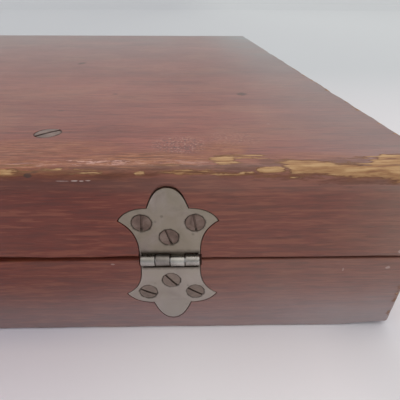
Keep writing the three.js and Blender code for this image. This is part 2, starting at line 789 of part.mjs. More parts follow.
/** A flat steel rod with an eye where the pallet arbor goes through it. */
function pendulumRod() {
  const { halfWidth, back, front, bottom, top } = ROD;
  const y0 = bottom - PENDULUM_PIVOT.y;
  const y1 = top - PENDULUM_PIVOT.y;
  const shape = new THREE.Shape()
    .moveTo(-halfWidth, y0)
    .lineTo(halfWidth, y0)
    .lineTo(halfWidth, y1 - halfWidth)
    .absarc(0, y1 - halfWidth, halfWidth, 0, Math.PI);
  const strip = prism(shape, front, back, 4);
  return cut(join(strip, rod(3, front, back, 16)), rod(1.25 + GAP, front - 1, back + 1));
}

/** The way that the rod takes through the bob or the sliding weight. */
function rodWay(y0, y1) {
  const half = ROD.halfWidth + GAP;
  return box([-half, half], [y0, y1], [ROD.front - GAP, ROD.back + GAP]);
}

function bob() {
  const disc = turned(
    [
      [0, BOB.front],
      [BOB.radius - 1, BOB.front],
      [BOB.radius, BOB.front + 1],
      [BOB.radius, BOB.back - 1],
      [BOB.radius - 1, BOB.back],
      [0, BOB.back],
    ],
    24,
  ).translate(0, -BOB.drop, 0);
  return cut(disc, rodWay(ROD.bottom - PENDULUM_PIVOT.y - GAP, 0));
}

/** The sliding weight: wider at its reading edge, which is its top. */
function slidingWeight() {
  const { back, front, height, wide, narrow } = WEIGHT;
  const top = WEIGHT.top - PENDULUM_PIVOT.y;
  const shape = polygon([
    [-narrow, top - height],
    [narrow, top - height],
    [wide, top - 1.5],
    [wide - 1.5, top],
    [1.5 - wide, top],
    [-wide, top - 1.5],
  ]);
  return cut(prism(shape, front, back), rodWay(top - height - 1, top + 1));
}

// ---------------------------------------------------------------- scale
function taperedShape({ bottom, top, wide, narrow }) {
  return polygon([
    [-wide, bottom],
    [wide, bottom],
    [narrow, top],
    [-narrow, top],
  ]);
}

const SCALE_FACE = LID_CEILING - SCALE_BOARD.thickness;

function scaleBoard() {
  return prism(taperedShape(SCALE_BOARD), SCALE_FACE, LID_CEILING);
}

function scalePlate() {
  const back = SCALE_FACE - GAP;
  return prism(taperedShape(SCALE_PLATE), back - SCALE_PLATE.thickness, back);
}

/** A spring clip behind the rod's tip: the rod is pressed back into it for carrying. */
function rodClip() {
  const foot = SCALE_FACE - GAP;
  const jaw = 0.8;
  const inside = ROD.halfWidth + 0.4;
  const outside = inside + jaw;
  const mouth = ROD.back + 1.5;
  const profile = polygon([
    [-outside - 2, foot],
    [-outside - 2, foot - 1],
    [-outside, foot - 1],
    [-outside, mouth],
    [-inside, mouth],
    [-inside, foot - 1],
    [inside, foot - 1],
    [inside, mouth],
    [outside, mouth],
    [outside, foot - 1],
    [outside + 2, foot - 1],
    [outside + 2, foot],
  ]);
  return uprightPrism(profile, SCALE_PLATE.top + 1.5, SCALE_PLATE.top + 7.5);
}

// ---------------------------------------------------------------- assembly
function at(centre, ...children) {
  const placed = group(...children);
  placed.position.set(centre.x, centre.y, 0);
  return placed;
}

function train() {
  const towardsBarrel = THREE.MathUtils.degToRad(BARREL_DIRECTION);
  const towardsSecond = THREE.MathUtils.degToRad(SECOND_DIRECTION);
  const pinionPhase = meshingPhase(GREAT_WHEEL, 0, SECOND_PINION, towardsBarrel - Math.PI);
  const escapePhase = meshingPhase(SECOND_WHEEL, 0, ESCAPE_PINION, towardsSecond - Math.PI);
  const greatWheel = withHole(gearShape(GREAT_WHEEL, 0), WINDING_ARBOR + GAP);
  return [
    at(
      barrelCentre,
      part("great_wheel", prism(greatWheel, ...LEVEL.greatWheel), brass),
      part("barrel_drum", barrelDrum(), brass),
      part("mainspring", mainspring(), steel),
      part("winding_arbor", windingArbor(), steel),
      part("winding_key", windingKey(), brass),
    ),
    at(
      secondCentre,
      part("second_arbor", pinionArbor(SECOND_PINION, pinionPhase, LEVEL.secondPinion), steel),
      part("second_wheel", secondWheel(0), brass),
    ),
    at(
      escapeCentre,
      part("escape_arbor", pinionArbor(ESCAPE_PINION, escapePhase, LEVEL.escapePinion), steel),
      part("escape_wheel", escapeWheel(), brass),
    ),
    at(barrelCentre.clone().add(CLICK.pivot), part("ratchet_click", click(), steel)),
  ];
}

function pendulum() {
  const bore = 1.25 + GAP;
  return at(
    PENDULUM_PIVOT,
    part("pallet_arbor", palletArbor(), steel),
    part("pallet_anchor", anchor(), steel),
    part("pendulum_hub", ring(3.8, bore, ROD.back + GAP, FRONT_PLATE_Z - 0.7), brass),
    part("pendulum_rod", pendulumRod(), steel),
    part("pendulum_nut", ring(3.4, bore, 15, ROD.front - GAP, 12), brass),
    part("pendulum_bob", bob(), brass),
    part("sliding_weight", slidingWeight(), brass),
  );
}

function boardScrews() {
  return ["left", "right"].map((side) => {
    const one = part(`board_screw_${side}`, screw(BOARD_SCREW), screwSteel);
    const sign = side === "left" ? -1 : 1;
    one.position.set(sign * BOARD_SCREW_PLACE.x, BOARD_SCREW_PLACE.y, CASE_TOP - 0.05);
    one.rotation.z = -1.05;
    return one;
  });
}

function movement() {
  return group(
    part("movement_board", movementBoard(), darkMahogany),
    ...boardScrews(),
    part("movement_back_plate", backPlate(), brass),
    part("movement_front_plate", frontPlate(), brass),
    ...train(),
    pendulum(),
    part("scale_board", scaleBoard(), darkMahogany),
    part("scale_plate", scalePlate(), silvered),
    part("rod_clip", rodClip(), brass),
  );
}

const hinges = [hinge("left", -HINGE_X), hinge("right", HINGE_X)];
const metronome = group(base(hinges), lid(hinges), movement());

export default metronome;
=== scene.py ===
"""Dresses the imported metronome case: worn mahogany boards, let-in hinges, slotted screws, the
movement and the scale in the lid. Shapes are given in millimetres and made in metres, in the
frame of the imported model. Materials work in metres, in the same frame."""
import json
import math

import bmesh
import bpy
from mathutils import Matrix, Vector, noise


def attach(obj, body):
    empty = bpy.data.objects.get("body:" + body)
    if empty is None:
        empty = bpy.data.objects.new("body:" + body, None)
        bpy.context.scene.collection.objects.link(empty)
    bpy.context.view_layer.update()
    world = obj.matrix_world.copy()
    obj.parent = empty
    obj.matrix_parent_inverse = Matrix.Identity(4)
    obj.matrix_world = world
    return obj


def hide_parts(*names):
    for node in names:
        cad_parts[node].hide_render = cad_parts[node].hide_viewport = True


MM = 0.001
TAU = 2 * math.pi

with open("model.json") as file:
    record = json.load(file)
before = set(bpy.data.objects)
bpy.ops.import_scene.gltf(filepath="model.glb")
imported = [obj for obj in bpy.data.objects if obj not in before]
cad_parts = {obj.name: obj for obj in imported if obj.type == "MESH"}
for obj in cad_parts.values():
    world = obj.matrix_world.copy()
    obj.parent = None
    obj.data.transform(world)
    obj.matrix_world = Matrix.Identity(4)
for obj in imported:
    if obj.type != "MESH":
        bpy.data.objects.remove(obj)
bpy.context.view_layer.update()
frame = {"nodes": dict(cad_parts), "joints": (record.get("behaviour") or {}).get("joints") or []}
nodes = frame["nodes"]

# ---- the case, in millimetres
HALF_WIDTH, HALF_DEPTH = 150, 170
WALL, PANEL = 9, 4
BASE_TOP = 25.5
LID_FOOT, LID_TOP = 26, 50.5
AXIS_Z = 25.75
HINGE_X = 88.5
NECK, KNUCKLE_PITCH = 7.5, 3.7
LEAF_APEX = {"lid": 20.5, "base": 21.3}
RECESS_APEX = 21.6
LEAF_SPREAD = {"lid": (11.65, 4.75), "base": (11.9, 5.0)}
LEAF_SCREWS = ((-6.25, 11.2), (6.25, 11.2), (0, 7))
BOARD_SCREW = (55, -146.5)
SHARP_ANGLE = 32


# ---- meshes
def dress(obj, body, material, slot, *stands_for):
    """Shades a new piece, makes it ride on a body and hides the CAD nodes it stands for."""
    if material:
        obj.data.materials.clear()
        obj.data.materials.append(material)
    obj.data.shade_smooth()
    obj.data.set_sharp_from_angle(angle=math.radians(SHARP_ANGLE))
    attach(obj, body)
    if stands_for:
        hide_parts(*stands_for)
    return obj


def link(name, data):
    """Puts a mesh, a text or a camera into the scene as an object."""
    obj = bpy.data.objects.new(name, data)
    bpy.context.scene.collection.objects.link(obj)
    return obj


def to_object(name, bm):
    mesh = bpy.data.meshes.new(name)
    bm.to_mesh(mesh)
    bm.free()
    return link(name, mesh)


def mesh_object(name, bm):
    bmesh.ops.recalc_face_normals(bm, faces=bm.faces)
    return to_object(name, bm)


def bake(obj):
    """Applies the object's modifiers."""
    graph = bpy.context.evaluated_depsgraph_get()
    mesh = bpy.data.meshes.new_from_object(obj.evaluated_get(graph))
    obj.modifiers.clear()
    obj.data = mesh
    return obj


def subtract(obj, cutters):
    for cutter in cutters:
        modifier = obj.modifiers.new("cut", "BOOLEAN")
        modifier.operation = "DIFFERENCE"
        modifier.solver = "EXACT"
        modifier.object = cutter
    bake(obj)
    for cutter in cutters:
        bpy.data.objects.remove(cutter)
    return obj


def round_edges(obj, width, segments, angle):
    """Adds a bevel to the edges that turn by more than an angle, in degrees."""
    modifier = obj.modifiers.new("edge", "BEVEL")
    modifier.width = width * MM
    modifier.segments = segments
    modifier.limit_method = "ANGLE"
    modifier.angle_limit = math.radians(angle)


def bevel(obj, width, segments, angle=35):
    round_edges(obj, width, segments, angle)
    return bake(obj)


def prism(name, outline, z0, z1):
    """A flat outline of (x, y) in millimetres, given thickness along Z."""
    bm = bmesh.new()
    low = [bm.verts.new((x * MM, y * MM, z0 * MM)) for x, y in outline]
    high = [bm.verts.new((x * MM, y * MM, z1 * MM)) for x, y in outline]
    bm.faces.new(low[::-1])
    bm.faces.new(high)
    for i in range(len(outline)):
        j = (i + 1) % len(outline)
        bm.faces.new((low[i], low[j], high[j], high[i]))
    return mesh_object(name, bm)


def stand_up(obj):
    """Turns a prism so that its second axis points up and its thickness lies along Y."""
    obj.data.transform(Matrix(((1, 0, 0, 0), (0, 0, 1, 0), (0, 1, 0, 0), (0, 0, 0, 1))))
    obj.data.flip_normals()
    return obj


def move(obj, x=0, y=0, z=0):
    obj.data.transform(Matrix.Translation((x * MM, y * MM, z * MM)))
    return obj


TURNS = {"X": Matrix.Rotation(math.pi / 2, 4, "Y"), "Y": Matrix.Rotation(-math.pi / 2, 4, "X")}


def lathe(name, profile, segments, axis="Z"):
    """A turned solid. The profile is (radius, place along the axis) from one end to the other."""
    bm = bmesh.new()
    rings = []
    for radius, z in profile:
        angles = [TAU * k / segments for k in range(segments if radius else 1)]
        places = [(radius * math.cos(angle), radius * math.sin(angle), z) for angle in angles]
        rings.append([bm.verts.new([v * MM for v in place]) for place in places])
    for a, b in zip(rings, rings[1:]):
        for k in range(segments):
            corners = [a[k % len(a)], a[(k + 1) % len(a)], b[(k + 1) % len(b)], b[k % len(b)]]
            corners = list(dict.fromkeys(corners))
            if len(corners) > 2:
                bm.faces.new(corners)
    obj = mesh_object(name, bm)
    if axis in TURNS:
        obj.data.transform(TURNS[axis])
    return obj


def block(name, low, high):
    """A box between its lowest and its highest corner."""
    (x0, y0, z0), (x1, y1, z1) = low, high
    return prism(name, [(x0, y0), (x1, y0), (x1, y1), (x0, y1)], z0, z1)


def join(name, objects):
    """One object made of several, which it replaces."""
    bm = bmesh.new()
    for obj in objects:
        bm.from_mesh(obj.data)
        bpy.data.objects.remove(obj)
    return to_object(name, bm)


# ---- shader graphs
class Graph:
    """A material's nodes, with short calls for the ones used here. color is the paint so far."""

    def __init__(self, name):
        self.material = bpy.data.materials.new(name)
        self.material.use_nodes = True
        self.tree = self.material.node_tree
        self.shader = self.tree.nodes["Principled BSDF"]
        self.place = self.new("ShaderNodeTexCoord").outputs["Object"]
        self.x, self.y, self.z = self.new("ShaderNodeSeparateXYZ", self.place).outputs
        self.color = None

    def new(self, kind, *inputs, **settings):
        node = self.tree.nodes.new(kind)
        for key, value in settings.items():
            setattr(node, key, value)
        for socket, value in zip(node.inputs, inputs):
            self.join(value, socket)
        return node

    def join(self, value, socket):
        if isinstance(value, bpy.types.NodeSocket):
            self.tree.links.new(value, socket)
        elif value is not None:
            socket.default_value = value

    def feed(self, node, **inputs):
        """Links or sets inputs by name, where from_min stands for From Min."""
        for key, value in inputs.items():
            self.join(value, node.inputs[key.replace("_", " ").title()])
        return node

    def math(self, operation, a, b=None):
        return self.new("ShaderNodeMath", a, b, operation=operation).outputs[0]

    def add(self, a, b):
        return self.math("ADD", a, b)

    def sub(self, a, b):
        return self.math("SUBTRACT", a, b)

    def mul(self, a, b):
        return self.math("MULTIPLY", a, b)

    def low(self, a, b):
        return self.math("MINIMUM", a, b)

    def high(self, a, b):
        return self.math("MAXIMUM", a, b)

    def size(self, a):
        return self.math("ABSOLUTE", a)

    def reach(self, a, b):
        """The distance made by two offsets at right angles."""
        return self.math("SQRT", self.add(self.mul(a, a), self.mul(b, b)))

    def sway(self, noise, amount):
        """A noise made to go both ways about zero, times an amount."""
        return self.mul(self.sub(noise, 0.5), amount)

    def step(self, value, start, end, low=0.0, high=1.0):
        """A smooth step from low to high as value goes from start to end."""
        node = self.new("ShaderNodeMapRange", interpolation_type="SMOOTHSTEP")
        self.feed(node, value=value, from_min=start, from_max=end, to_min=low, to_max=high)
        return node.outputs["Result"]

    def stretch(self, x, y, z, shift=(0, 0, 0)):
        """The place on the object, scaled by axis, in cycles per metre."""
        node = self.new("ShaderNodeMapping")
        return self.feed(node, vector=self.place, scale=(x, y, z), location=shift).outputs["Vector"]

    def noise(self, vector, detail, roughness, distortion=0.0):
        node = self.new("ShaderNodeTexNoise")
        self.feed(node, vector=vector, scale=1.0, detail=detail, roughness=roughness, distortion=distortion)
        return node.outputs["Fac"]

    def cloud(self, scale, detail, roughness, shift=(0, 0, 0), distortion=0.0):
        """Noise of one scale along every axis, in cycles per metre."""
        return self.noise(self.stretch(scale, scale, scale, shift), detail, roughness, distortion)

    def spots(self, scale, chosen, edge, shift=(0, 0, 0)):
        """Round spots in some cells of a grid: chosen steps over the cells and edge over the radius."""
        node = self.new("ShaderNodeTexVoronoi")
        self.feed(node, vector=self.stretch(scale, scale, scale, shift), scale=1.0)
        return self.mul(self.step(node.outputs["Color"], *chosen), self.step(node.outputs["Distance"], *edge))

    def mix(self, amount, a, b):
        node = self.new("ShaderNodeMix", data_type="RGBA")
        self.join(amount, node.inputs["Factor"])
        for socket, value in zip([s for s in node.inputs if s.type == "RGBA"], (a, b)):
            self.join((*value, 1) if isinstance(value, tuple) else value, socket)
        return [s for s in node.outputs if s.type == "RGBA"][0]

    def paint(self, amount, color):
        """Lays a color over the paint so far."""
        self.color = self.mix(amount, self.color, color)

    def ramp(self, amount, *stops):
        node = self.new("ShaderNodeValToRGB", amount)
        elements = node.color_ramp.elements
        while len(elements) < len(stops):
            elements.new(0.5)
        for element, (place, color) in zip(elements, stops):
            element.position = place
            element.color = (*color, 1)
        return node.outputs["Color"]

    def bump(self, height, distance, strength=1.0, normal=None):
        node = self.new("ShaderNodeBump")
        self.feed(node, height=height, distance=distance, strength=strength, normal=normal)
        return node.outputs["Normal"]

    def finish(self, roughness, normal, metallic=0.0):
        self.feed(self.shader, base_color=self.color, roughness=roughness, normal=normal, metallic=metallic)
        return self.material


def streaks(g, along, grain, cross, detail, roughness, shift=(0, 0, 0), distortion=0.0):
    """Noise drawn out along the grain, in cycles per metre along and across it."""
    scale = [grain if axis == along else cross for axis in "XYZ"]
    return g.noise(g.stretch(*scale, shift), detail, roughness, distortion)


def blot(g, centre, size):
    """A small mark on the surface: a ragged oval about a place, in millimetres."""
    total = g.sway(g.noise(g.stretch(700, 1500, 1500), 3, 0.6), 3.2)
    for axis, middle, half in zip((g.x, g.y, g.z), centre, size):
        a = g.mul(g.sub(axis, middle * MM), 1 / (half * MM))
        total = g.add(total, g.mul(a, a))
    return g.step(total, 1.3, 0.3)


def darken_hinge_side(g, deep):
    """Painted shade on the hinge side: least at its right end, and most under the lid's edge at its left."""
    # painted shade over the hinge side's face, weaker towards its right end
    facing = g.mul(g.step(g.y, -0.1682, -0.1697), g.step(g.z, 0.0497, 0.0483))
    facing = g.mul(facing, g.step(g.x, 0.085, 0.130, 1.0, 0.78))
    g.paint(g.mul(facing, deep), (0.130, 0.013, 0.004))
    # painted shade under the lid's rounded edge, towards its left
    brow = g.mul(g.step(g.z, 0.0435, 0.0475), g.step(g.x, 0.110, 0.075, 0.0, 0.50))
    g.paint(g.mul(facing, brow), (0.060, 0.020, 0.012))


def wear(g, along, rubbed, fibre, roughness, normal):
    """Lays thin polish, dirt, painted highlights, pits and bare wood over mahogany; gives its roughness and
    normal.
    """
    worn, dirty, thin, painted_highlights, pitted = rubbed(g, streaks(g, along, 70, 380, 4, 0.6, (11, 5, 2)))
    split = streaks(g, along, 120, 1250, 4, 0.65, (4, 8, 3))
    fret = streaks(g, along, 190, 1500, 3, 0.7, (9, 2, 4))
    spark = streaks(g, along, 330, 1300, 3, 0.7, (2, 9, 5))
    pit = g.cloud(1500, 2, 0.6)
    g.paint(g.mul(thin, g.step(split, 0.38, 0.60, 0.45, 1.0)), (0.275, 0.082, 0.018))
    g.paint(g.mul(thin, g.step(fret, 0.51, 0.58, 0.0, 0.75)), (0.430, 0.185, 0.095))
    g.paint(g.mul(dirty, g.step(split, 0.66, 0.42, 0.40, 1.0)), (0.125, 0.036, 0.012))
    g.paint(g.mul(g.high(thin, dirty), g.step(fret, 0.48, 0.41, 0.0, 0.75)), (0.100, 0.026, 0.012))
    # painted highlight: pink glints along the grain, standing for gloss catching the light
    g.paint(g.mul(painted_highlights, g.step(spark, 0.52, 0.59, 0.0, 0.85)), (0.60, 0.34, 0.29))
    g.paint(g.mul(pitted, g.step(pit, 0.50, 0.36, 0.0, 0.7)), (0.085, 0.045, 0.045))
    g.paint(g.mul(pitted, g.step(pit, 0.56, 0.68, 0.0, 0.6)), (0.50, 0.33, 0.28))
    streak = g.sub(g.add(g.mul(fibre, 0.30), g.mul(split, 0.70)), 0.5)
    ragged = g.mul(g.add(worn, g.mul(streak, 3.4)), g.step(worn, 0.03, 0.25))
    halo = g.mul(g.step(worn, 0.02, 0.45), g.step(split, 0.36, 0.58, 0.4, 1.0))
    g.paint(g.mul(halo, 0.75), (0.270, 0.098, 0.034))
    grime = g.mul(g.step(ragged, 0.06, 0.30), g.step(ragged, 0.85, 0.40))
    g.paint(g.mul(grime, 0.45), (0.175, 0.070, 0.034))
    weave = streaks(g, along, 130, 620, 3, 0.6, (9, 2, 7))
    bare = g.ramp(
        g.add(g.mul(split, 0.55), g.mul(weave, 0.45)),
        (0.38, (0.225, 0.098, 0.043)),
        (0.45, (0.350, 0.177, 0.078)),
        (0.52, (0.438, 0.247, 0.112)),
        (0.60, (0.555, 0.345, 0.172)),
    )
    g.paint(g.step(ragged, 0.30, 0.85), bare)
    roughness = g.add(roughness, g.mul(g.step(ragged, 0.2, 0.6), 0.25))
    worn_down = g.add(g.step(ragged, 0.62, 0.38), g.mul(pitted, g.mul(pit, 0.5)))
    return roughness, g.bump(worn_down, 0.0004, 0.7, normal)


def mahogany(name, along, shift=0.0, rubbed=None, painted_sheen=None, marks=(), shade=1.0, deep=None, lively=1.0):
    """Polished mahogany with its grain along one axis.

    rubbed(g, wobble) says where it is worn, and the argument after it, called with (g, dull),
    where a greyish painted sheen stands for reflected light. marks are blots, and shade makes
    the wood darker or lighter. deep is the strength of the painted shade on the hinge side,
    and lively is the contrast of the figure.
    """
    g = Graph(name)
    offset = (shift, shift * 1.7, shift * 0.6)

    def grain(*settings, place=offset, distortion=0.0):
        return streaks(g, along, *settings, place, distortion)

    def shaded(*color):
        return tuple(part * shade for part in color)

    cloud, figure = grain(14, 26, 3, 0.55, distortion=0.3), grain(11, 95, 3, 0.6, distortion=0.6)
    fibre, short = grain(42, 620, 4, 0.62), grain(150, 1500, 3, 0.6)
    broad_tone = g.add(g.mul(cloud, 0.36), g.mul(figure, 0.22))
    tone = g.add(broad_tone, g.add(g.mul(fibre, 0.25), g.mul(short, 0.17)))
    g.color = g.ramp(
        g.add(g.sway(tone, lively), 0.5),
        (0.39, shaded(0.120, 0.027, 0.018)),
        (0.47, shaded(0.185, 0.040, 0.027)),
        (0.53, shaded(0.240, 0.058, 0.038)),
        (0.61, shaded(0.345, 0.112, 0.072)),
    )
    pores = g.step(grain(240, 2600, 2, 0.5), 0.58, 0.70)
    g.paint(g.mul(pores, 0.36), (0.075, 0.020, 0.015))
    warm = g.cloud(46, 3, 0.55, (shift + 5, 2, 8))
    g.paint(g.step(warm, 0.46, 0.68, 0.0, 0.32), shaded(0.30, 0.125, 0.070))
    ding = g.spots(62, (0.80, 0.84), (0.055, 0.020), offset)
    g.paint(g.mul(ding, 0.7), (0.05, 0.022, 0.018))
    specks = g.spots(240, (0.88, 0.92), (0.16, 0.05), offset)
    g.paint(g.mul(specks, 0.35), (0.46, 0.30, 0.26))
    # painted shade on the hinge side
    if deep:
        darken_hinge_side(g, deep)
    thread = grain(70, 880, 3, 0.65, place=(shift, 3, 6), distortion=0.15)
    fine = grain(150, 1900, 2, 0.6, place=(shift, 7, 2))
    lines = g.add(g.mul(thread, 0.6), g.mul(fine, 0.4))
    g.paint(g.step(lines, 0.51, 0.58, 0.0, 0.42 * lively), shaded(0.330, 0.108, 0.056))
    g.paint(g.step(lines, 0.49, 0.41, 0.0, 0.60 * lively), shaded(0.080, 0.018, 0.012))
    dull = grain(26, 40, 4, 0.6, place=(3, 7, 1))
    roughness = g.step(dull, 0.25, 0.80, 0.40, 0.50)
    # painted sheen: a greyish haze laid over the wood for reflected light
    if painted_sheen:
        g.paint(*painted_sheen(g, dull))
    height = g.add(g.mul(short, 0.35), g.add(g.mul(fibre, 0.4), g.mul(pores, -0.5)))
    normal = g.bump(g.add(height, g.mul(ding, -2.0)), 0.00011, 0.6)
    if rubbed:
        roughness, normal = wear(g, along, rubbed, fibre, roughness, normal)
    for centre, size, color, strength in marks:
        g.paint(g.mul(blot(g, centre, size), strength), color)
    return g.finish(roughness, normal)


# ---- rubbed edges
def edge_distance(g, foot, top):
    """Distance in metres from the nearest outer edge of a tray, measured over its faces."""
    side = g.sub(HALF_WIDTH * MM, g.size(g.x))
    end = g.sub(HALF_DEPTH * MM, g.size(g.y))
    rim = g.high(g.low(g.sub(top * MM, g.z), g.sub(g.z, foot * MM)), 0.0)
    return g.low(g.high(side, end), g.low(g.high(side, rim), g.high(end, rim)))


def rubs(g, along, across, *ovals, soft=0.75):
    """The strongest of some soft-edged ovals: middle x, middle y, half sizes and strength, in mm."""
    strongest = None
    for x, y, half_x, half_y, strength in ovals:
        a = g.mul(g.sub(along, x * MM), 1 / (half_x * MM))
        b = g.mul(g.sub(across, y * MM), 1 / (half_y * MM))
        oval = g.step(g.add(g.mul(a, a), g.mul(b, b)), 1 + soft, 1 - soft, 0.0, strength)
        strongest = g.high(strongest, oval) if strongest else oval
    return strongest


def rubbed_lid(g, wobble):
    """How bare, dirty, thinly polished and pitted the lid is, and where it has painted highlights, most by
    the hinge side's edge.

    over is the distance in from the edge over the top, and below zero it runs down the face.
    """
    broad = g.sub(g.cloud(120, 2, 0.5, (7, 3, 5)), 0.5)
    frayed = g.sway(g.noise(g.stretch(230, 1300, 1300, (2, 6, 4)), 3, 0.6), 0.0030)
    front = g.sub(g.add(g.y, HALF_DEPTH * MM), g.sub(LID_TOP * MM, g.z))
    over = g.add(front, g.add(g.sway(wobble, 0.0034), frayed))
    run = g.add(g.x, g.mul(broad, 0.008))
    top = g.add(g.step(run, 0.1220, 0.1265, 0.0052, 0.0036), g.step(run, 0.1330, 0.1400, 0.0, 0.0052))
    low = g.add(g.step(run, 0.1190, 0.1290, -0.0008, -0.0024), g.step(run, 0.1330, 0.1400, 0.0, -0.0010))
    inside = g.low(g.sub(top, over), g.sub(over, low))
    band = g.mul(g.step(inside, -0.0010, 0.0015), g.step(run, 0.1120, 0.1170))
    bare = rubs(
        g, run, over,
        (101, 5.6, 3.6, 1.9, 0.9), (102.5, 3.6, 3, 1, 0.8), (105.5, 7.9, 6.2, 0.8, 0.8),
        (108, 6, 4.5, 0.6, 0.65), (110.8, 0.5, 3.4, 1.2, 0.95), (93.2, -0.2, 5.5, 0.8, 0.75),
        (82.3, -0.4, 1.3, 0.65, 0.62), (51, 0.2, 10, 0.9, 0.50), (50, 2.6, 11, 0.8, 0.36),
        (66, 0.6, 9, 0.5, 0.38), (105, -0.9, 9, 0.3, 0.5), (86, 3, 7, 0.5, 0.3),
        (133, 6.2, 4, 0.5, 0.5), (14, 0.2, 13, 0.7, 0.45), (-22, 0.5, 8, 0.9, 0.6),
        (-62, 0.1, 9, 0.7, 0.5), (-104, 0.8, 8, 1.2, 0.7), (-126, 1.3, 9, 1.7, 0.8),
        (-143, 1.6, 8, 2.6, 0.85),
    )
    dirty = rubs(
        g, run, over,
        (76, 0.2, 15, 1.9, 0.85), (103.5, 0.8, 7, 2.1, 0.75), (120, -1, 8, 0.6, 0.75),
        (112.5, 3.8, 4, 1.7, 0.7), (128.5, 4.9, 6, 1.3, 0.6), (132, -2.9, 12, 0.7, 0.5),
        (91.5, 1.9, 8, 1.2, 0.75), (53, -0.5, 9, 0.8, 0.6), (66, -0.4, 6, 1, 0.5),
        (-5, 0.4, 11, 1.6, 0.7), (-76, 0.3, 14, 1.8, 0.8), (-116, 2.6, 10, 1.6, 0.6),
    )
    thin = rubs(
        g, run, over,
        (83, 5.5, 16, 4.4, 0.85), (51, 3.2, 15, 3.6, 0.85), (101.5, 11.5, 5.5, 5, 0.55),
        (56, 12, 20, 6.5, 0.50), (122, 7.2, 10, 2.4, 0.4), (70, 4, 9, 3, 0.7),
        (30, 4, 90, 5.5, 0.40), (-110, 5, 32, 5, 0.6), (-20, 4, 30, 3.6, 0.55),
        soft=0.85,
    )
    # painted highlights: where the rounded edge's gloss would catch the light
    painted_highlights = rubs(
        g, run, over,
        (72.5, 4.3, 9, 1.5, 1.0), (92, 4, 12, 1.5, 0.45), (60, 3, 8, 1.4, 0.4),
    )
    pitted = rubs(g, g.x, front, (91, 15, 6.5, 5.5, 1.0), (104, 19, 8, 5, 0.4), soft=0.8)
    edge = g.sub(edge_distance(g, LID_FOOT, LID_TOP), g.mul(g.sub(wobble, 0.56), 0.008))
    elsewhere = g.mul(g.step(edge, 0.0012, -0.0006), g.step(g.z, 0.034, 0.042, 0.15, 0.85))
    skin = g.step(g.low(g.add(g.y, HALF_DEPTH * MM), g.sub(LID_TOP * MM, g.z)), 0.0030, 0.0015)
    worn = g.high(g.mul(g.high(band, bare), skin), elsewhere)
    return worn, *(g.mul(kind, skin) for kind in (dirty, thin, painted_highlights, pitted))


def rubbed_base(g, wobble):
    """The base is only rubbed bare at its edges, most of all low down."""
    edge = g.sub(edge_distance(g, 0, BASE_TOP), g.mul(g.sub(wobble, 0.56), 0.008))
    return g.mul(g.step(edge, 0.0011, -0.0006), g.step(g.z, 0.017, 0.009, 0.20, 0.48)), 0.0, 0.0, 0.0, 0.0


def dusty_lid(g, dull):
    """Painted sheen: a greyish haze standing for reflected light, at the right end of the hinge side, under
    its edge and over the top.
    """
    near = g.step(g.y, -0.165, -0.169)
    # painted sheen: lighter towards the right end of the hinge side and under the lid's edge
    end = g.add(g.step(g.x, 0.055, 0.130, 0.0, 0.13), g.step(g.x, 0.122, 0.156, 0.0, 0.30))
    brow = g.mul(g.step(g.z, 0.0438, 0.0470, 0.0, 0.10), g.step(g.x, 0.070, 0.100, 0.3, 1.0))
    above = g.step(g.z, 0.0495, 0.0503)
    # painted sheen over the top, growing towards the back and the right
    haze = g.add(g.step(g.y, -0.15, 0.17, 0.0, 0.40), g.step(g.y, -0.165, -0.125, 0.02, 0.09))
    top = g.mul(above, g.add(haze, g.step(g.x, 0.095, 0.150, 0.0, 0.32)))
    amount = g.mul(g.add(g.mul(near, g.add(end, brow)), top), g.step(dull, 0.2, 0.8, 0.7, 1.2))
    return g.high(amount, 0.02), g.mix(above, (0.40, 0.310, 0.245), (0.29, 0.325, 0.340))


def dusty_base(g, dull):
    """Painted sheen on the base, more than on the lid: a haze standing for reflected light, most of all low
    down and towards the right end.
    """
    # painted sheen, strongest low down and towards the right end
    low = g.step(g.z, 0.024, -0.003, 0.0, 0.33)
    end = g.step(g.x, 0.040, 0.160, 0.0, 0.29)
    amount = g.mul(g.add(low, end), g.step(dull, 0.2, 0.8, 0.8, 1.2))
    amount = g.mul(amount, g.step(g.y, -0.1620, -0.1705, 0.45, 1.0))
    # painted reflection of the floor: bluish grey low down
    return amount, g.mix(g.step(g.z, 0.026, 0.004), (0.43, 0.330, 0.275), (0.45, 0.425, 0.440))


# ---- boards
def graded(start, end, fine, coarse, reach):
    """Places from start to end, close together near both ends."""
    length = end - start
    places, here = [0.0], 0.0
    while here < length / 2:
        grow = min(1.0, max(0.0, here - reach) / (3 * reach))
        here += fine + (coarse - fine) * grow
        places.append(here)
    places = [p for p in places if p < length / 2 - coarse / 3]
    return [start + p for p in places] + [end - p for p in reversed(places)]


def soften(point, low, high, radius):
    """Rounds the box from low to high: moves a point in towards the rounded box of that radius."""
    centre = [(a + b) / 2 for a, b in zip(low, high)]
    half = [(b - a) / 2 for a, b in zip(low, high)]
    rel = [p - c for p, c in zip(point, centre)]
    sign = [1 if r >= 0 else -1 for r in rel]
    into = [abs(r) for r in rel]
    for a, b in ((1, 2), (0, 2), (0, 1)):
        r = radius(a, b, sign, point)
        da, db = into[a] - (half[a] - r), into[b] - (half[b] - r)
        if da > 0 and db > 0:
            scale = max(da, db) / math.hypot(da, db)
            into[a] = half[a] - r + da * scale
            into[b] = half[b] - r + db * scale
    return [c + s * i for c, s, i in zip(centre, sign, into)]


def ripple(place, size, seed):
    """Smooth noise over the case, of about this size in millimetres."""
    x, y, z = [v / size for v in place]
    return noise.noise(Vector((x + seed, y, z)))


def ease(value, start, end):
    """A smooth step from 0 to 1."""
    t = min(1.0, max(0.0, (value - start) / (end - start)))
    return t * t * (3 - 2 * t)


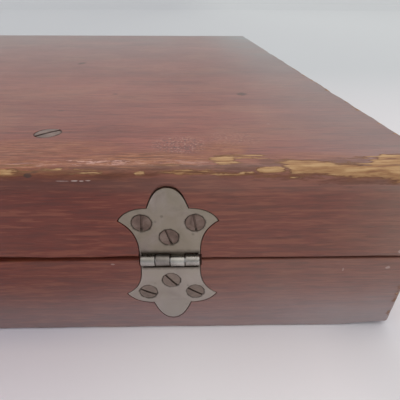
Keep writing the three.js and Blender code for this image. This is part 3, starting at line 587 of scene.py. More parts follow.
def lid_radius(a, b, sign, p):
    """How round the lid is at an edge between two of its axes, with its knocks."""
    knock = 1 + 0.5 * ripple(p, 14, 3.1) + 0.35 * ripple(p, 4, 8.4)
    if (a, b) == (0, 1):
        return 2.0 * knock
    if sign[2] < 0:
        return (0.9 + 0.8 * ease(-p[0], -96, -78)) * knock
    if a == 1 and sign[1] < 0:
        return (2.3 + 1.6 * ease(p[0], 95, 150)) * knock
    return 1.6 * knock


def base_radius(a, b, sign, p):
    knock = 1 + 0.5 * ripple(p, 14, 5.7) + 0.35 * ripple(p, 4, 1.4)
    if (a, b) == (0, 1):
        return 0.9 + 0.5 * knock
    return (0.5 if sign[2] > 0 else 0.7) * knock


def swell(point):
    """The end rails stand out a little towards the hinge side, where the case has spread with age."""
    x, y, z = point
    out = 1.3 * (HALF_DEPTH - y) / (2 * HALF_DEPTH) * ease(abs(x), HALF_WIDTH - 8, HALF_WIDTH - 2.5)
    return x + math.copysign(out, x), y, z


def shape_lid(point):
    low, high = (-HALF_WIDTH, -HALF_DEPTH, LID_FOOT), (HALF_WIDTH, HALF_DEPTH, LID_TOP)
    return swell(soften(point, low, high, lid_radius))


def shape_base(point):
    low, high = (-HALF_WIDTH, -HALF_DEPTH, 0), (HALF_WIDTH, HALF_DEPTH, BASE_TOP)
    x, y, z = swell(soften(point, low, high, base_radius))
    corner = ease(abs(x), HALF_WIDTH - 17, HALF_WIDTH) * ease(abs(y), HALF_DEPTH - 17, HALF_DEPTH)
    return x, y, z + 1.1 * corner * ease(-z, -7, 0)


SQUARE = ((0, 0), (1, 0), (1, 1), (0, 1))


def board(name, corners, z0, z1, shape):
    """A board whose plan has four corners, cut into a fine grid and shaped like its tray."""
    a, b, c, d = [Vector(corner) for corner in corners]
    width = (d - a).length
    across = graded(0, (b - a).length, 0.45, 3.2, 5)
    deep = graded(0, min(width, (c - b).length), 0.45, 3.2 if width > 50 else 2.5, 5)
    tall = graded(z0, z1, 0.4, 1.8, 2.2)
    us = [u / across[-1] for u in across]
    vs = [v / deep[-1] for v in deep]
    n, m, h = len(us) - 1, len(vs) - 1, len(tall) - 1
    bm = bmesh.new()
    made = {}

    def vertex(i, j, k):
        if (i, j, k) not in made:
            plan = a.lerp(b, us[i]).lerp(d.lerp(c, us[i]), vs[j])
            made[i, j, k] = bm.verts.new([v * MM for v in shape((plan.x, plan.y, tall[k]))])
        return made[i, j, k]

    for i in range(n):
        for j in range(m):
            for k in (0, h):
                bm.faces.new([vertex(i + p, j + q, k) for p, q in SQUARE])
    for k in range(h):
        for i in range(n):
            for j in (0, m):
                bm.faces.new([vertex(i + p, j, k + q) for p, q in SQUARE])
        for j in range(m):
            for i in (0, n):
                bm.faces.new([vertex(i, j + p, k + q) for p, q in SQUARE])
    return mesh_object(name, bm)


# ---- hinge shapes
def curve(points):
    """Points along a Bezier curve, leaving out its end."""
    steps, degree = 14, len(points) - 1
    made = []
    for i in range(steps):
        t = i / steps
        weights = [math.comb(degree, k) * t**k * (1 - t) ** (degree - k) for k in range(degree + 1)]
        made.append(tuple(sum(w * p[axis] for w, p in zip(weights, points)) for axis in (0, 1)))
    return made


def leaf_outline(grow, apex, owner):
    """The outline of a leaf: half of it, from the neck to the point, then its mirror image."""
    neck, top = NECK + grow, 15.2 + grow
    tip, shoulder = LEAF_SPREAD[owner][0] + 1.6 * grow, LEAF_SPREAD[owner][1] + grow
    right = [(neck, 0.5 - 2 * grow)]
    right += curve([(neck, 3), (neck, 8.2), (9.6 + 1.2 * grow, 10.4 - grow), (tip, 11.8)])
    right += curve([(tip, 11.8), (9.8 + grow, top), (shoulder, top)])
    right += curve([(shoulder, top), (shoulder - 1.0, top + 2.9), (2.6 + grow, apex), (0, apex)])
    left = [(-x, z) for x, z in reversed(right)]
    return right + [(0, apex)] + left


def place_leaf(obj, side, owner):
    """Puts a piece made for a lid leaf at the origin onto its hinge."""
    if owner == "base":
        obj.data.transform(Matrix.Rotation(math.pi, 4, "Y"))
    return move(obj, side * HINGE_X, -HALF_DEPTH, AXIS_Z)


def recess_cutters(owner):
    """What is cut out for each hinge: a hollow for the leaf, a ledge round it and the barrel's trench."""
    reach = NECK + 0.35
    cutters = []
    for side in (-1, 1):
        hollow = stand_up(prism("hollow", leaf_outline(0.10, LEAF_APEX[owner] + 0.12, owner), -1, 1.55))
        ledge = stand_up(prism("ledge", leaf_outline(0.15, RECESS_APEX, owner), -1, 0.7))
        trench = lathe("trench", [(0, -reach), (1.85, -reach), (1.85, reach), (0, reach)], 40, "X")
        cutters += [place_leaf(piece, side, owner) for piece in (hollow, ledge, trench)]
    return cutters


def screw(name, head, depth, slot, turn, tilt=0.0, dome=0.12):
    """A slotted countersunk screw at the origin, facing +Z, its edges a little rounded."""
    rim = head - 0.08
    profile = [(0, dome)]
    profile += [(rim * t, dome * (1 - t * t)) for t in (0.25, 0.5, 0.72, 0.88, 0.96, 1)]
    profile += [(head, -0.1), (head * 0.98, -0.28), (head * 0.48, -depth), (head * 0.46, -2 * depth)]
    profile.append((0, -2 * depth - head * 0.4))
    body = lathe(name, profile, 56)
    cutter = block("slot", (-slot / 2, -head - 1, -0.42 * depth), (slot / 2, head + 1, 2))
    bevel(subtract(body, [cutter]), 0.05, 2, 40)
    body.data.transform(Matrix.Rotation(turn, 4, "Z") @ Matrix.Rotation(tilt, 4, "X"))
    return body


def face_hinge_side(obj):
    """Turns a piece that faces +Z so that it faces -Y."""
    obj.data.transform(Matrix.Rotation(math.pi / 2, 4, "X"))
    return obj


BARREL_REACH = 1.7
KNUCKLES = {
    "lid": ((-2, 1.50, 0.0), (0, 1.44, -0.16)),
    "base": ((-2, 1.47, 0.0), (0, 1.43, -0.06)),
}


def knuckle(start, radius, drop):
    """One rolled knuckle along X: a ring whose ends are a little rounded."""
    low, high = start + 0.09, start + KNUCKLE_PITCH - 0.09
    bore, edge = 0.74, 0.16
    profile = [(bore, low), (radius - edge, low), (radius - 0.04, low + 0.06), (radius, low + edge)]
    profile += [(radius, high - edge), (radius - 0.04, high - 0.06), (radius - edge, high), (bore, high)]
    ring = lathe("knuckle", profile + [(bore, low)], 56, "X")
    bm = bmesh.new()
    bm.from_mesh(ring.data)
    bmesh.ops.remove_doubles(bm, verts=bm.verts, dist=1e-7)
    bmesh.ops.recalc_face_normals(bm, faces=bm.faces)
    bm.to_mesh(ring.data)
    bm.free()
    return move(ring, 0, 0, drop)


def leaf(name, owner):
    """A sheet leaf with countersunk holes, a fold over the barrel and two of the four knuckles."""
    plate = stand_up(prism(name, leaf_outline(0, LEAF_APEX[owner], owner), 0, 1.2))
    bevel(plate, 0.18, 3, 50)
    cutters = []
    for x, z in LEAF_SCREWS:
        cone = lathe("seat", [(0, 1), (2.62, 1), (2.5, 0), (1.25, -1.1), (1.25, -2), (0, -2)], 48)
        cutters.append(move(face_hinge_side(cone), x, 0, z))
    half = NECK - 0.45
    cutters.append(block("fold", (-half, -1, 0.9), (half, 0.62, 2.55)))
    made = []
    for index, radius, drop in KNUCKLES[owner]:
        start = index * KNUCKLE_PITCH
        low, high = start + KNUCKLE_PITCH - 0.12, start + 2 * KNUCKLE_PITCH + 0.12
        cutters.append(lathe("space", [(0, low), (1.72, low), (1.72, high), (0, high)], 40, "X"))
        made.append(knuckle(start, radius, drop))
    subtract(plate, cutters)
    whole = join(name, [plate, *made])
    whole.data.materials.append(leaf_metal)
    whole.data.materials.append(barrel_metal)
    for face in whole.data.polygons:
        corners = [whole.data.vertices[v].co for v in face.vertices]
        if all(math.hypot(corner.y, corner.z) < BARREL_REACH * MM for corner in corners):
            face.material_index = 1
    return whole


# ---- lock shapes
KEYHOLE_RADIUS, KEYHOLE_LEG, KEYHOLE_MIDDLE, KEYHOLE_FOOT = 1.6, 0.8, 16, 11
PLATE_WIDE, PLATE_TALL, PLATE_MIDDLE = 7, 8.5, 14.5


def keyhole_cutter():
    """A round with a leg below it, through the rail and the escutcheon."""
    lean = math.asin(KEYHOLE_LEG / KEYHOLE_RADIUS)
    turns = [-math.pi / 2 + lean + (TAU - 2 * lean) * k / 28 for k in range(29)]
    outline = [(KEYHOLE_LEG, KEYHOLE_FOOT)]
    outline += [(KEYHOLE_RADIUS * math.cos(t), KEYHOLE_MIDDLE + KEYHOLE_RADIUS * math.sin(t)) for t in turns]
    outline.append((-KEYHOLE_LEG, KEYHOLE_FOOT))
    return stand_up(prism("keyhole", outline, HALF_DEPTH - WALL - 2, HALF_DEPTH + 5))


def lock_cutters():
    """The keyhole, and the pocket for the lock, open to the inside and at the top."""
    pocket = block("pocket", (-16.3, HALF_DEPTH - WALL - 1, 8.7), (16.3, HALF_DEPTH - 3.4, BASE_TOP + 1))
    return [keyhole_cutter(), pocket]


def strike_cutter():
    """The shallow let-in for the strike plate under the lid's rail."""
    return block("let_in", (-12.3, HALF_DEPTH - 8.5, LID_FOOT - 1), (12.3, HALF_DEPTH - 1.3, LID_FOOT + 1.5))


def escutcheon():
    """A domed oval plate with a beaded rim, held by two pins."""
    rim = [(0, 0), (8.5, 0), (8.5, 0.5), (8.36, 0.74), (8.05, 0.88), (7.6, 0.9), (7.35, 0.78), (7.1, 0.76)]
    plate = lathe("plate", rim + [(6.8, 0.9), (6.0, 1.12), (4.5, 1.32), (2.4, 1.46), (0, 1.5)], 72, "Y")
    plate.data.transform(Matrix.Diagonal((PLATE_WIDE / PLATE_TALL, 1, 1, 1)))
    move(plate, 0, HALF_DEPTH, PLATE_MIDDLE)
    bevel(subtract(plate, [keyhole_cutter()]), 0.1, 2, 40)
    pins = []
    for height in (-6.4, 6.4):
        pin = lathe("pin", [(0, 0.5), (0.8, 0.5), (0.78, 1.12), (0.6, 1.3), (0.3, 1.38), (0, 1.4)], 24, "Y")
        pins.append(move(pin, 0, HALF_DEPTH, PLATE_MIDDLE + height))
    return join("look_lock_escutcheon", [plate, *pins])


# ---- metals
def metal(name, dark, middle, light, roughness, grain=(160, 900, 4200), spread=0.08):
    """A worked metal, stained in patches, pitted a little and rubbed along its grain.

    Gives its graph, its roughness and its normal.
    """
    g = Graph(name)
    stain, cloud = g.cloud(190, 5, 0.6, distortion=0.6), g.cloud(60, 3, 0.5, (4, 2, 9))
    scratch = g.noise(g.stretch(*grain, (2, 1, 6)), 3, 0.6)
    tone = g.add(g.mul(stain, 0.55), g.mul(cloud, 0.45))
    g.color = g.ramp(tone, (0.34, dark), (0.47, middle), (0.62, light))
    pit = g.spots(700, (0.84, 0.90), (0.35, 0.12))
    g.paint(g.mul(pit, 0.5), tuple(0.3 * c for c in dark))
    rough = g.add(g.step(stain, 0.3, 0.7, roughness - spread, roughness + spread), g.mul(scratch, 0.05))
    height = g.add(g.mul(scratch, 0.4), g.add(g.mul(stain, 0.3), g.mul(pit, -1.0)))
    return g, rough, g.bump(height, 0.00004, 0.5)


def plain_metal(*settings, **more):
    g, rough, normal = metal(*settings, **more)
    return g.finish(rough, normal, 1.0)


def leaf_nickel(name):
    """Dull plated sheet, dirty round its screws, with dirt and painted shade along the fold by the barrel,
    and a painted reflection of the pale floor that makes it paler on the base.
    """
    tones = (0.195, 0.163, 0.138), (0.312, 0.268, 0.234), (0.415, 0.366, 0.324)
    g, rough, normal = metal(name, *tones, 0.44)
    across = g.size(g.sub(g.size(g.x), HINGE_X * MM))
    up = g.size(g.sub(g.z, AXIS_Z * MM))
    ragged = g.sway(g.cloud(700, 3, 0.6), 0.0011)
    heads = [g.reach(g.sub(across, x * MM), g.sub(up, z * MM)) for x, z in LEAF_SCREWS[1:]]
    darkened = g.step(g.add(g.low(*heads), ragged), 0.0028, 0.0022)
    # dirt and painted shade in the fold above and below the barrel
    darkened = g.high(darkened, g.mul(g.step(g.add(up, ragged), 0.0036, 0.0024), 0.6))
    green = g.cloud(110, 3, 0.55, (9, 1, 4))
    g.paint(g.step(green, 0.42, 0.60, 0.0, 0.45), (0.285, 0.252, 0.180))
    # painted reflection: the base leaf, most of all its lower lobe, paler as if it caught the pale floor
    g.paint(g.step(g.z, 0.0245, 0.0222, 0.0, 0.32), (0.62, 0.57, 0.53))
    g.paint(g.step(g.z, 0.0145, 0.0055, 0.0, 0.24), (0.58, 0.56, 0.55))
    g.paint(g.mul(darkened, 0.88), (0.060, 0.045, 0.038))
    return g.finish(g.add(rough, g.mul(darkened, 0.15)), normal, 1.0)


def barrel_nickel(name):
    """The knuckles, brightened by handling, each to its own degree."""
    tones = (0.25, 0.235, 0.215), (0.47, 0.45, 0.42), (0.66, 0.64, 0.60)
    g, rough, normal = metal(name, *tones, 0.31, spread=0.1)
    along = g.sub(g.size(g.x), HINGE_X * MM)
    pitch, blur = KNUCKLE_PITCH * MM, 0.0001
    dull = g.mul(g.step(along, -pitch - blur, -pitch + blur), g.step(along, blur, -blur))
    outer = g.step(along, pitch - blur, pitch + blur, 0.0, 0.24)
    tarnish = g.add(g.add(g.mul(dull, 0.38), outer), g.step(along, blur, -blur, 0.0, 0.16))
    g.paint(tarnish, (0.20, 0.165, 0.15))
    return g.finish(g.add(rough, g.mul(dull, 0.12)), normal, 1.0)


def screw_metal(name):
    """Old screw heads: brown-grey steel, with a painted reflection of the pale floor that makes them paler on
    the base.
    """
    g = Graph(name)
    stain = g.cloud(420, 4, 0.6, distortion=0.5)
    filed = g.noise(g.stretch(2600, 500, 2600, (1, 5, 2)), 3, 0.6)
    tones = (0.30, (0.105, 0.072, 0.060)), (0.50, (0.200, 0.142, 0.118)), (0.72, (0.31, 0.24, 0.205))
    g.color = g.ramp(stain, *tones)
    # painted reflection: heads on the base leaf paler, as if they caught the pale floor
    g.paint(g.step(g.z, 0.0215, 0.0205, 0.0, 0.36), (0.35, 0.30, 0.26))
    height = g.add(g.mul(filed, 0.5), stain)
    return g.finish(g.step(stain, 0.3, 0.7, 0.42, 0.62), g.bump(height, 0.00006, 0.6), 0.85)


def sunk_screw_metal(name):
    """A screw head, darker towards its rim."""
    tones = (0.165, 0.118, 0.104), (0.255, 0.188, 0.168), (0.37, 0.295, 0.270)
    g, rough, normal = metal(name, *tones, 0.46)
    across = g.sub(g.size(g.x), BOARD_SCREW[0] * MM)
    along = g.sub(g.y, BOARD_SCREW[1] * MM)
    ragged = g.sway(g.cloud(500, 3, 0.6), 0.0016)
    # darker towards the rim of the head
    darkened = g.step(g.add(g.reach(across, along), ragged), 0.0029, 0.0036)
    g.paint(g.mul(darkened, 0.85), (0.075, 0.050, 0.045))
    return g.finish(g.add(rough, g.mul(darkened, 0.15)), normal, 0.8)


def baize_cloth(name):
    """Dark green felted wool."""
    g = Graph(name)
    cloud, nap = g.cloud(35, 4, 0.6), g.cloud(420, 4, 0.7)
    hair = g.cloud(2600, 2, 0.6, (1, 2, 3), 1.5)
    g.color = g.ramp(
        g.add(g.mul(cloud, 0.4), g.mul(nap, 0.6)),
        (0.35, (0.014, 0.048, 0.026)),
        (0.52, (0.026, 0.076, 0.041)),
        (0.68, (0.045, 0.110, 0.062)),
    )
    lint = g.step(hair, 0.66, 0.76)
    g.paint(g.mul(lint, 0.3), (0.13, 0.19, 0.13))
    return g.finish(0.95, g.bump(g.add(nap, g.mul(hair, 0.7)), 0.0004, 0.7))


def silvered(name):
    """A silvered plate, grained along its length and yellowed in clouds."""
    g = Graph(name)
    grain = g.noise(g.stretch(2400, 40, 2400), 3, 0.6)
    tones = (0.32, (0.56, 0.50, 0.39)), (0.50, (0.72, 0.68, 0.59)), (0.68, (0.80, 0.77, 0.70))
    g.color = g.ramp(g.cloud(28, 4, 0.6), *tones)
    g.paint(g.mul(g.spots(260, (0.88, 0.92), (0.3, 0.05)), 0.5), (0.20, 0.15, 0.10))
    rough = g.step(grain, 0.3, 0.7, 0.38, 0.52)
    return g.finish(rough, g.bump(grain, 0.00003, 0.5), 0.75)


def ink(name):
    """Black wax filling, a little worn."""
    g = Graph(name)
    wear = g.cloud(1300, 3, 0.6)
    g.color = g.mix(g.step(wear, 0.58, 0.75), (0.018, 0.016, 0.015), (0.10, 0.09, 0.08))
    return g.finish(0.6, g.bump(wear, 0.00002, 0.4))


# ---- the case's boards
CORNERS = [(x * HALF_WIDTH, y * HALF_DEPTH) for x, y in ((-1, -1), (1, -1), (1, 1), (-1, 1))]


def tray(owner, z0, z1, shape):
    """The four mitred rails of a tray, by side."""
    inner = [(x - math.copysign(WALL, x), y - math.copysign(WALL, y)) for x, y in CORNERS]
    made = {}
    for i, side in enumerate(("hinge", "right", "lock", "left")):
        j = (i + 1) % 4
        plan = (CORNERS[i], CORNERS[j], inner[j], inner[i])
        made[side] = board(f"look_{owner}_{side}_rail", plan, z0, z1, shape)
    return made


def dress_rails(rails, owner, front, end):
    for side, rail in rails.items():
        finish = front if side in ("hinge", "lock") else end
        dress(rail, owner, finish, "mahogany", f"{owner}_{side}_rail")


PALE, DARK = (0.62, 0.50, 0.46), (0.045, 0.026, 0.022)
# each mark: its middle and half sizes in millimetres, its color and its strength
LID_MARKS = (
    ((59.3, -170, 49.3), (0.9, 2.2, 0.5), DARK, 0.75),
    ((60.6, -169.3, 50.5), (1.3, 0.5, 1), DARK, 0.4),
    ((66.4, -170, 48.1), (1.5, 1, 0.11), PALE, 0.35),
    ((69.0, -170, 48.15), (0.8, 1, 0.15), PALE, 0.75),
    ((70.4, -170, 48.1), (0.5, 1, 0.13), PALE, 0.65),
    ((71.9, -170, 48.2), (0.6, 1, 0.14), PALE, 0.60),
    ((29, -26, 50.5), (2.2, 4.6, 1), DARK, 0.7),
    ((64, -102, 50.5), (1.3, 1.0, 1), DARK, 0.6),
    ((113.5, -102, 50.5), (2.2, 2.4, 1), DARK, 0.7),
    ((51, -125, 50.5), (1.2, 0.9, 1), DARK, 0.4),
    ((146, -170, 27.8), (0.5, 1, 0.5), PALE, 0.5),
)
BASE_MARKS = (
    ((144.5, -170, 22.5), (0.7, 1, 0.5), PALE, 0.45),
    ((133, -170, 22.0), (0.25, 1, 0.6), PALE, 0.3),
    ((74, -170, 24.4), (0.5, 1, 0.25), PALE, 0.3),
)
lid_front = mahogany("mahogany_lid_rails", "X", 2.0, rubbed_lid, dusty_lid, LID_MARKS, deep=0.60, lively=0.8)
lid_side = mahogany("mahogany_lid_ends", "Y", 5.0, rubbed_lid, dusty_lid)
lid_face = mahogany(
    "mahogany_lid_top", "X", 9.0, rubbed_lid, dusty_lid, LID_MARKS, shade=1.12, deep=0.60, lively=0.6
)
base_front = mahogany(
    "mahogany_base_rails", "X", 13.0, rubbed_base, dusty_base, BASE_MARKS, shade=0.9, deep=0.6, lively=0.8
)
base_side = mahogany("mahogany_base_ends", "Y", 17.0, rubbed_base, dusty_base)
leaf_metal = leaf_nickel("nickel_leaf")
barrel_metal = barrel_nickel("nickel_barrel")
NICKEL = ((0.25, 0.225, 0.200), (0.39, 0.360, 0.330), (0.50, 0.47, 0.44))
plate_metal = plain_metal("nickel_plate", *NICKEL, 0.38)
board_screw_metal = sunk_screw_metal("sunk_screw")
old_screw = screw_metal("old_screw")
BRASS = ((0.40, 0.245, 0.085), (0.62, 0.42, 0.165), (0.72, 0.52, 0.24))
brass = plain_metal("brass", *BRASS, 0.30, grain=(2600, 60, 2600))
turned_brass = plain_metal("turned_brass", *BRASS, 0.24, grain=(300, 300, 4200))
steel = plain_metal("polished_steel", (0.28, 0.28, 0.285), (0.46, 0.46, 0.47), (0.56, 0.56, 0.57), 0.26)
blued = plain_metal("blued_steel", (0.018, 0.028, 0.085), (0.030, 0.048, 0.150), (0.05, 0.08, 0.22), 0.24)
baize = baize_cloth("baize")
silver = silvered("silvered_brass")
black = ink("ink")
dark_wood = mahogany("dark_mahogany", "Y", 31.0, shade=0.5)

lid_rails = tray("lid", LID_FOOT, LID_TOP - PANEL, shape_lid)
subtract(lid_rails["hinge"], recess_cutters("lid"))
subtract(lid_rails["lock"], [strike_cutter()])
dress_rails(lid_rails, "lid", lid_front, lid_side)

lid_board = board("look_lid_top_board", CORNERS, LID_TOP - PANEL, LID_TOP, shape_lid)
holes = []
for side in (-1, 1):
    hole = lathe("hole", [(0, 1), (3.68, 1), (3.64, -0.3), (2.1, -2.4), (2.1, -6), (0, -6)], 56)
    holes.append(move(hole, side * BOARD_SCREW[0], BOARD_SCREW[1], LID_TOP))
subtract(lid_board, recess_cutters("lid") + holes)
dress(lid_board, "lid", lid_face, "mahogany", "lid_top_board")

base_rails = tray("base", PANEL, BASE_TOP, shape_base)
subtract(base_rails["hinge"], recess_cutters("base"))
subtract(base_rails["lock"], lock_cutters())
dress_rails(base_rails, "base", base_front, base_side)
base_board = board("look_base_bottom_board", CORNERS, 0, PANEL, shape_base)
dress(base_board, "base", base_front, "mahogany", "base_bottom_board")

dress(escutcheon(), "base", plate_metal, "nickel", "lock_escutcheon")

# ---- hinges and screws
SLOT_TURNS = {"lid": (-4, 8, 16), "base": (58, 62, 40)}
TILTS = (1.6, -1.2, 2.0)
SIDES = ((-1, "left"), (1, "right"))
for side, word in SIDES:
    for owner in ("lid", "base"):
        piece = place_leaf(leaf(f"look_hinge_{word}_{owner}_leaf", owner), side, owner)
        dress(piece, owner, None, "nickel", f"hinge_{word}_{owner}_leaf")
        for index, (x, z) in enumerate(LEAF_SCREWS):
            name = f"hinge_{word}_{owner}_screw_{index + 1}"
            turn = math.radians(SLOT_TURNS[owner][index] * (1 if side > 0 else -1.7))
            head = screw(f"look_{name}", 2.3, 1.15, 0.55, turn, math.radians(TILTS[index]))
            move(face_hinge_side(head), x, 0.05, z)
            place_leaf(head, side, owner)
            dress(head, owner, old_screw, "screw_steel", name)

for side, word in SIDES:
    turn = math.radians(-47 if side > 0 else 20)
    head = screw(f"look_board_screw_{word}", 3.6, 2.1, 1.0, turn, math.radians(0.8))
    move(head, side * BOARD_SCREW[0], BOARD_SCREW[1], LID_TOP)
    dress(head, "lid", board_screw_metal, "screw_steel", f"board_screw_{word}")


# ---- inside the lid
def axis_of(joint_name):
    """Where a joint's axis stands in plan, in millimetres."""
    place = next(joint["pos_m"] for joint in frame["joints"] if joint["name"] == joint_name)
    return tuple(round(v / MM, 3) for v in place[:2])


PIVOT, BARREL = axis_of("pendulum_swing"), axis_of("barrel_spin")
SECOND, ESCAPE, CLICK = axis_of("second_spin"), axis_of("escape_spin"), axis_of("click_lift")
PLATE_LOW, PLATE_HIGH, PLATE_FRONT, PLATE_BACK, PLATE_THICKNESS = (-67, -128), (20, -74), 23.5, 39, 1.5
PLATE_CORNERS = [
    (x, y)
    for x in (PLATE_LOW[0] + 6, PLATE_HIGH[0] - 6)
    for y in (PLATE_LOW[1] + 6, PLATE_HIGH[1] - 6)
]
BOB_CENTRE, BOB_RADIUS = (0, -132), 14
WEIGHT_TOP, WEIGHT_HEIGHT = -24, 15
ROD_HALF, ROD_FRONT, ROD_BACK = 1.2, 17.5, 18.2
SCALE_FACE, SCALE_LOW, SCALE_HIGH, SCALE_WIDE, SCALE_NARROW = 25.2, -66, 130, 18, 14


def rounded(low, high, corner):
    """The outline of a rectangle with rounded corners."""
    steps = 10
    left, right = low[0] + corner, high[0] - corner
    near, far = low[1] + corner, high[1] - corner
    outline = []
    for cx, cy, start in ((right, near, -90), (right, far, 0), (left, far, 90), (left, near, 180)):
        for i in range(steps + 1):
            angle = math.radians(start + 90 * i / steps)
            outline.append((cx + corner * math.cos(angle), cy + corner * math.sin(angle)))
    return outline


def tempo_place(beats):
    """Where the weight's top edge stands for a rate, from the pendulum's moments, in mm, g and s."""
    gravity, bob, bob_arm, rod, rod_arm, rod_spin, weight = 9810, 52, 48, 3.6, 85, 48500, 9.7
    squared = (math.pi * beats / 60) ** 2
    spin = bob * bob_arm**2 + rod_spin
    pull = gravity * (bob * bob_arm - rod * rod_arm)
    half = gravity * weight / 2
    arm = (math.sqrt(half**2 + squared * weight * (pull - squared * spin)) - half) / (squared * weight)
    return PIVOT[1] + arm + WEIGHT_HEIGHT / 2


def tempo_marks():
    """The usual rates of a metronome, in beats a minute, and where each stands."""
    spans = ((40, 60, 2), (60, 72, 3), (72, 120, 4), (120, 144, 6), (144, 209, 8))
    return [(rate, tempo_place(rate)) for span in spans for rate in range(*span)]


def lettering(words, x, y, height):
    """Plain figures laid on the scale, read from inside the case."""
    text = bpy.data.curves.new("figures", "FONT")
    text.body = words
    text.size = height * MM
    text.align_x = "CENTER"
    text.align_y = "CENTER"
    text.extrude = 0.012 * MM
    text.resolution_u = 4
    carrier = link("figures", text)
    bpy.context.view_layer.update()
    mesh = bpy.data.meshes.new_from_object(carrier.evaluated_get(bpy.context.evaluated_depsgraph_get()))
    bpy.data.objects.remove(carrier)
    z = SCALE_FACE - 0.03
    mesh.transform(Matrix(((-1, 0, 0, x * MM), (0, 1, 0, y * MM), (0, 0, -1, z * MM), (0, 0, 0, 1))))
    return link("figures", mesh)


def scale_half(y):
    """Half the width of the scale at a height."""
    return SCALE_WIDE + (SCALE_NARROW - SCALE_WIDE) * (y - SCALE_LOW) / (SCALE_HIGH - SCALE_LOW)


def scale_print():
    """The border lines, tempo lines and figures of the scale, as one inlaid piece."""
    bottom, top = SCALE_FACE - 0.04, SCALE_FACE - 0.01
    low, high, inset, line = SCALE_LOW + 1, SCALE_HIGH - 1, 1.0, 0.22
    tick_start, tick_end, figures = 4.6, 8, 11
    bits = []
    for sign in (-1, 1):
        a, b = sign * (scale_half(low) - inset), sign * (scale_half(high) - inset)
        border = [(a, low), (a - sign * line, low), (b - sign * line, high), (b, high)]
        bits.append(prism("line", border[::sign], bottom, top))
        x = sign * tick_start
        bits.append(block("line", (x, low, bottom), (x + line, high, top)))
    for y in (low, high):
        reach = scale_half(y) - inset
        bits.append(block("line", (-reach, y - line / 2, bottom), (reach, y + line / 2, top)))
    for index, (rate, y) in enumerate(tempo_marks()):
        sign = 1 if index % 2 else -1
        start, end = sorted((sign * tick_start, sign * tick_end))
        bits.append(block("line", (start, y - line / 2, bottom), (end, y + line / 2, top)))
        bits.append(lettering(str(rate), sign * figures, y, 2.8 if rate % 20 else 3.3))
    return join("look_scale_print", bits)


def small_screw(name, x, y, z, head, turn, material):
    """A screw in the lid that faces down, into the base."""
    one = screw(name, head, head * 0.5, head * 0.24, math.radians(turn), 0, head * 0.18)
    one.data.transform(Matrix.Rotation(math.pi, 4, "X"))
    return dress(move(one, x, y, z), "lid", material, "screw_steel")


def rod_way(y0, y1):
    """The slot for the rod, with a little room all round."""
    half = ROD_HALF + 0.25
    return block("way", (-half, y0, ROD_FRONT - 0.25), (half, y1, ROD_BACK + 0.25))


def pendulum_bob():
    """A turned brass bob with rounded edges and two fine grooves in its face."""
    r = BOB_RADIUS
    grooves = [(9.2, 12.5), (9.5, 12.7), (9.8, 12.5), (11.6, 12.5), (11.9, 12.7), (12.2, 12.4)]
    rim = [(r - 0.9, 12.4), (r - 0.3, 12.65), (r, 13.3), (r, 21.7), (r - 0.3, 22.35), (r - 0.9, 22.6)]
    bob = lathe("look_pendulum_bob", [(0, 12.5), *grooves, *rim, (0, 22.6)], 96)
    return subtract(move(bob, *BOB_CENTRE), [rod_way(-136.4, PIVOT[1])])


def sliding_weight():
    """A block that widens upwards, with two corners cut off and a slot for the rod."""
    wide, narrow, y1 = 7.8, 6.5, WEIGHT_TOP
    y0, cut = y1 - WEIGHT_HEIGHT, 1.5
    outline = [(-narrow, y0), (narrow, y0), (wide, y1 - cut), (wide - cut, y1), (cut - wide, y1)]
    outline.append((-wide, y1 - cut))
    weight = bevel(prism("look_sliding_weight", outline, 15.1, 20.7), 0.45, 3)
    return subtract(weight, [rod_way(y0 - 1, y1 + 1)])


def movement_plate(front):
    outline = rounded(PLATE_LOW, PLATE_HIGH, 5)
    return bevel(prism("plate", outline, front, front + PLATE_THICKNESS), 0.3, 3)


def front_plate():
    """The front plate, with oil sinks round its pivot holes and the click's stud."""
    holes = []
    for place, r in ((PIVOT, 1.6), (ESCAPE, 1.1), (SECOND, 1.1), (BARREL, 2.9)):
        profile = [(0, -1), (r + 0.9, -1), (r + 0.7, 0.05), (r + 0.15, 0.5), (r, 0.6), (r, 3), (0, 3)]
        holes.append(move(lathe("sink", profile, 40), *place, PLATE_FRONT))
    plate = subtract(movement_plate(PLATE_FRONT), holes)
    stud = lathe("stud", [(0, 20.7), (0.8, 20.7), (1, 20.9), (1, 23.6), (0, 23.6)], 32)
    return join("look_movement_front_plate", [plate, move(stud, *CLICK)])


def back_plate():
    """The back plate and its four turned pillars."""
    foot, top = PLATE_FRONT + PLATE_THICKNESS, PLATE_BACK
    profile = [(0, foot), (3, foot), (3, foot + 1.6), (2.4, foot + 2), (2.1, foot + 2.6)]
    profile += [(r, foot + top - z) for r, z in reversed(profile[1:])] + [(0, top)]
    pillars = [move(lathe("pillar", profile, 40), *place) for place in PLATE_CORNERS]
    return join("look_movement_back_plate", [movement_plate(PLATE_BACK), *pillars])


def barrel():
    """The drum of the mainspring, open at its back."""
    r, z0, z1, wall = 17, 29, 35.2, 0.8
    profile = [(2.8, z0), (6, z0), (6.2, z0), (r - 0.4, z0), (r, z0 + 0.4), (r, z1 - 0.2), (r - 0.2, z1)]
    profile += [(r - wall, z1), (r - wall, z0 + wall), (2.8, z0 + wall), (2.8, z0)]
    return move(lathe("look_barrel_drum", profile, 96), *BARREL)


def key():
    """A thumb key: a turned hub between two rounded wings."""
    wings = stand_up(prism("wings", rounded((-13, 6.5), (13, 14), 3.5), -1.25, 1.25))
    bevel(wings, 0.7, 4)
    profile = [(0, 9.3), (3.2, 9.3), (3.8, 9.6), (4, 10.2), (4, 16.2), (3.6, 16.6), (4, 17)]
    hub = lathe("hub", profile + [(3.8, 17.5), (0, 17.5)], 56)
    return move(join("look_winding_key", [wings, hub]), *BARREL)


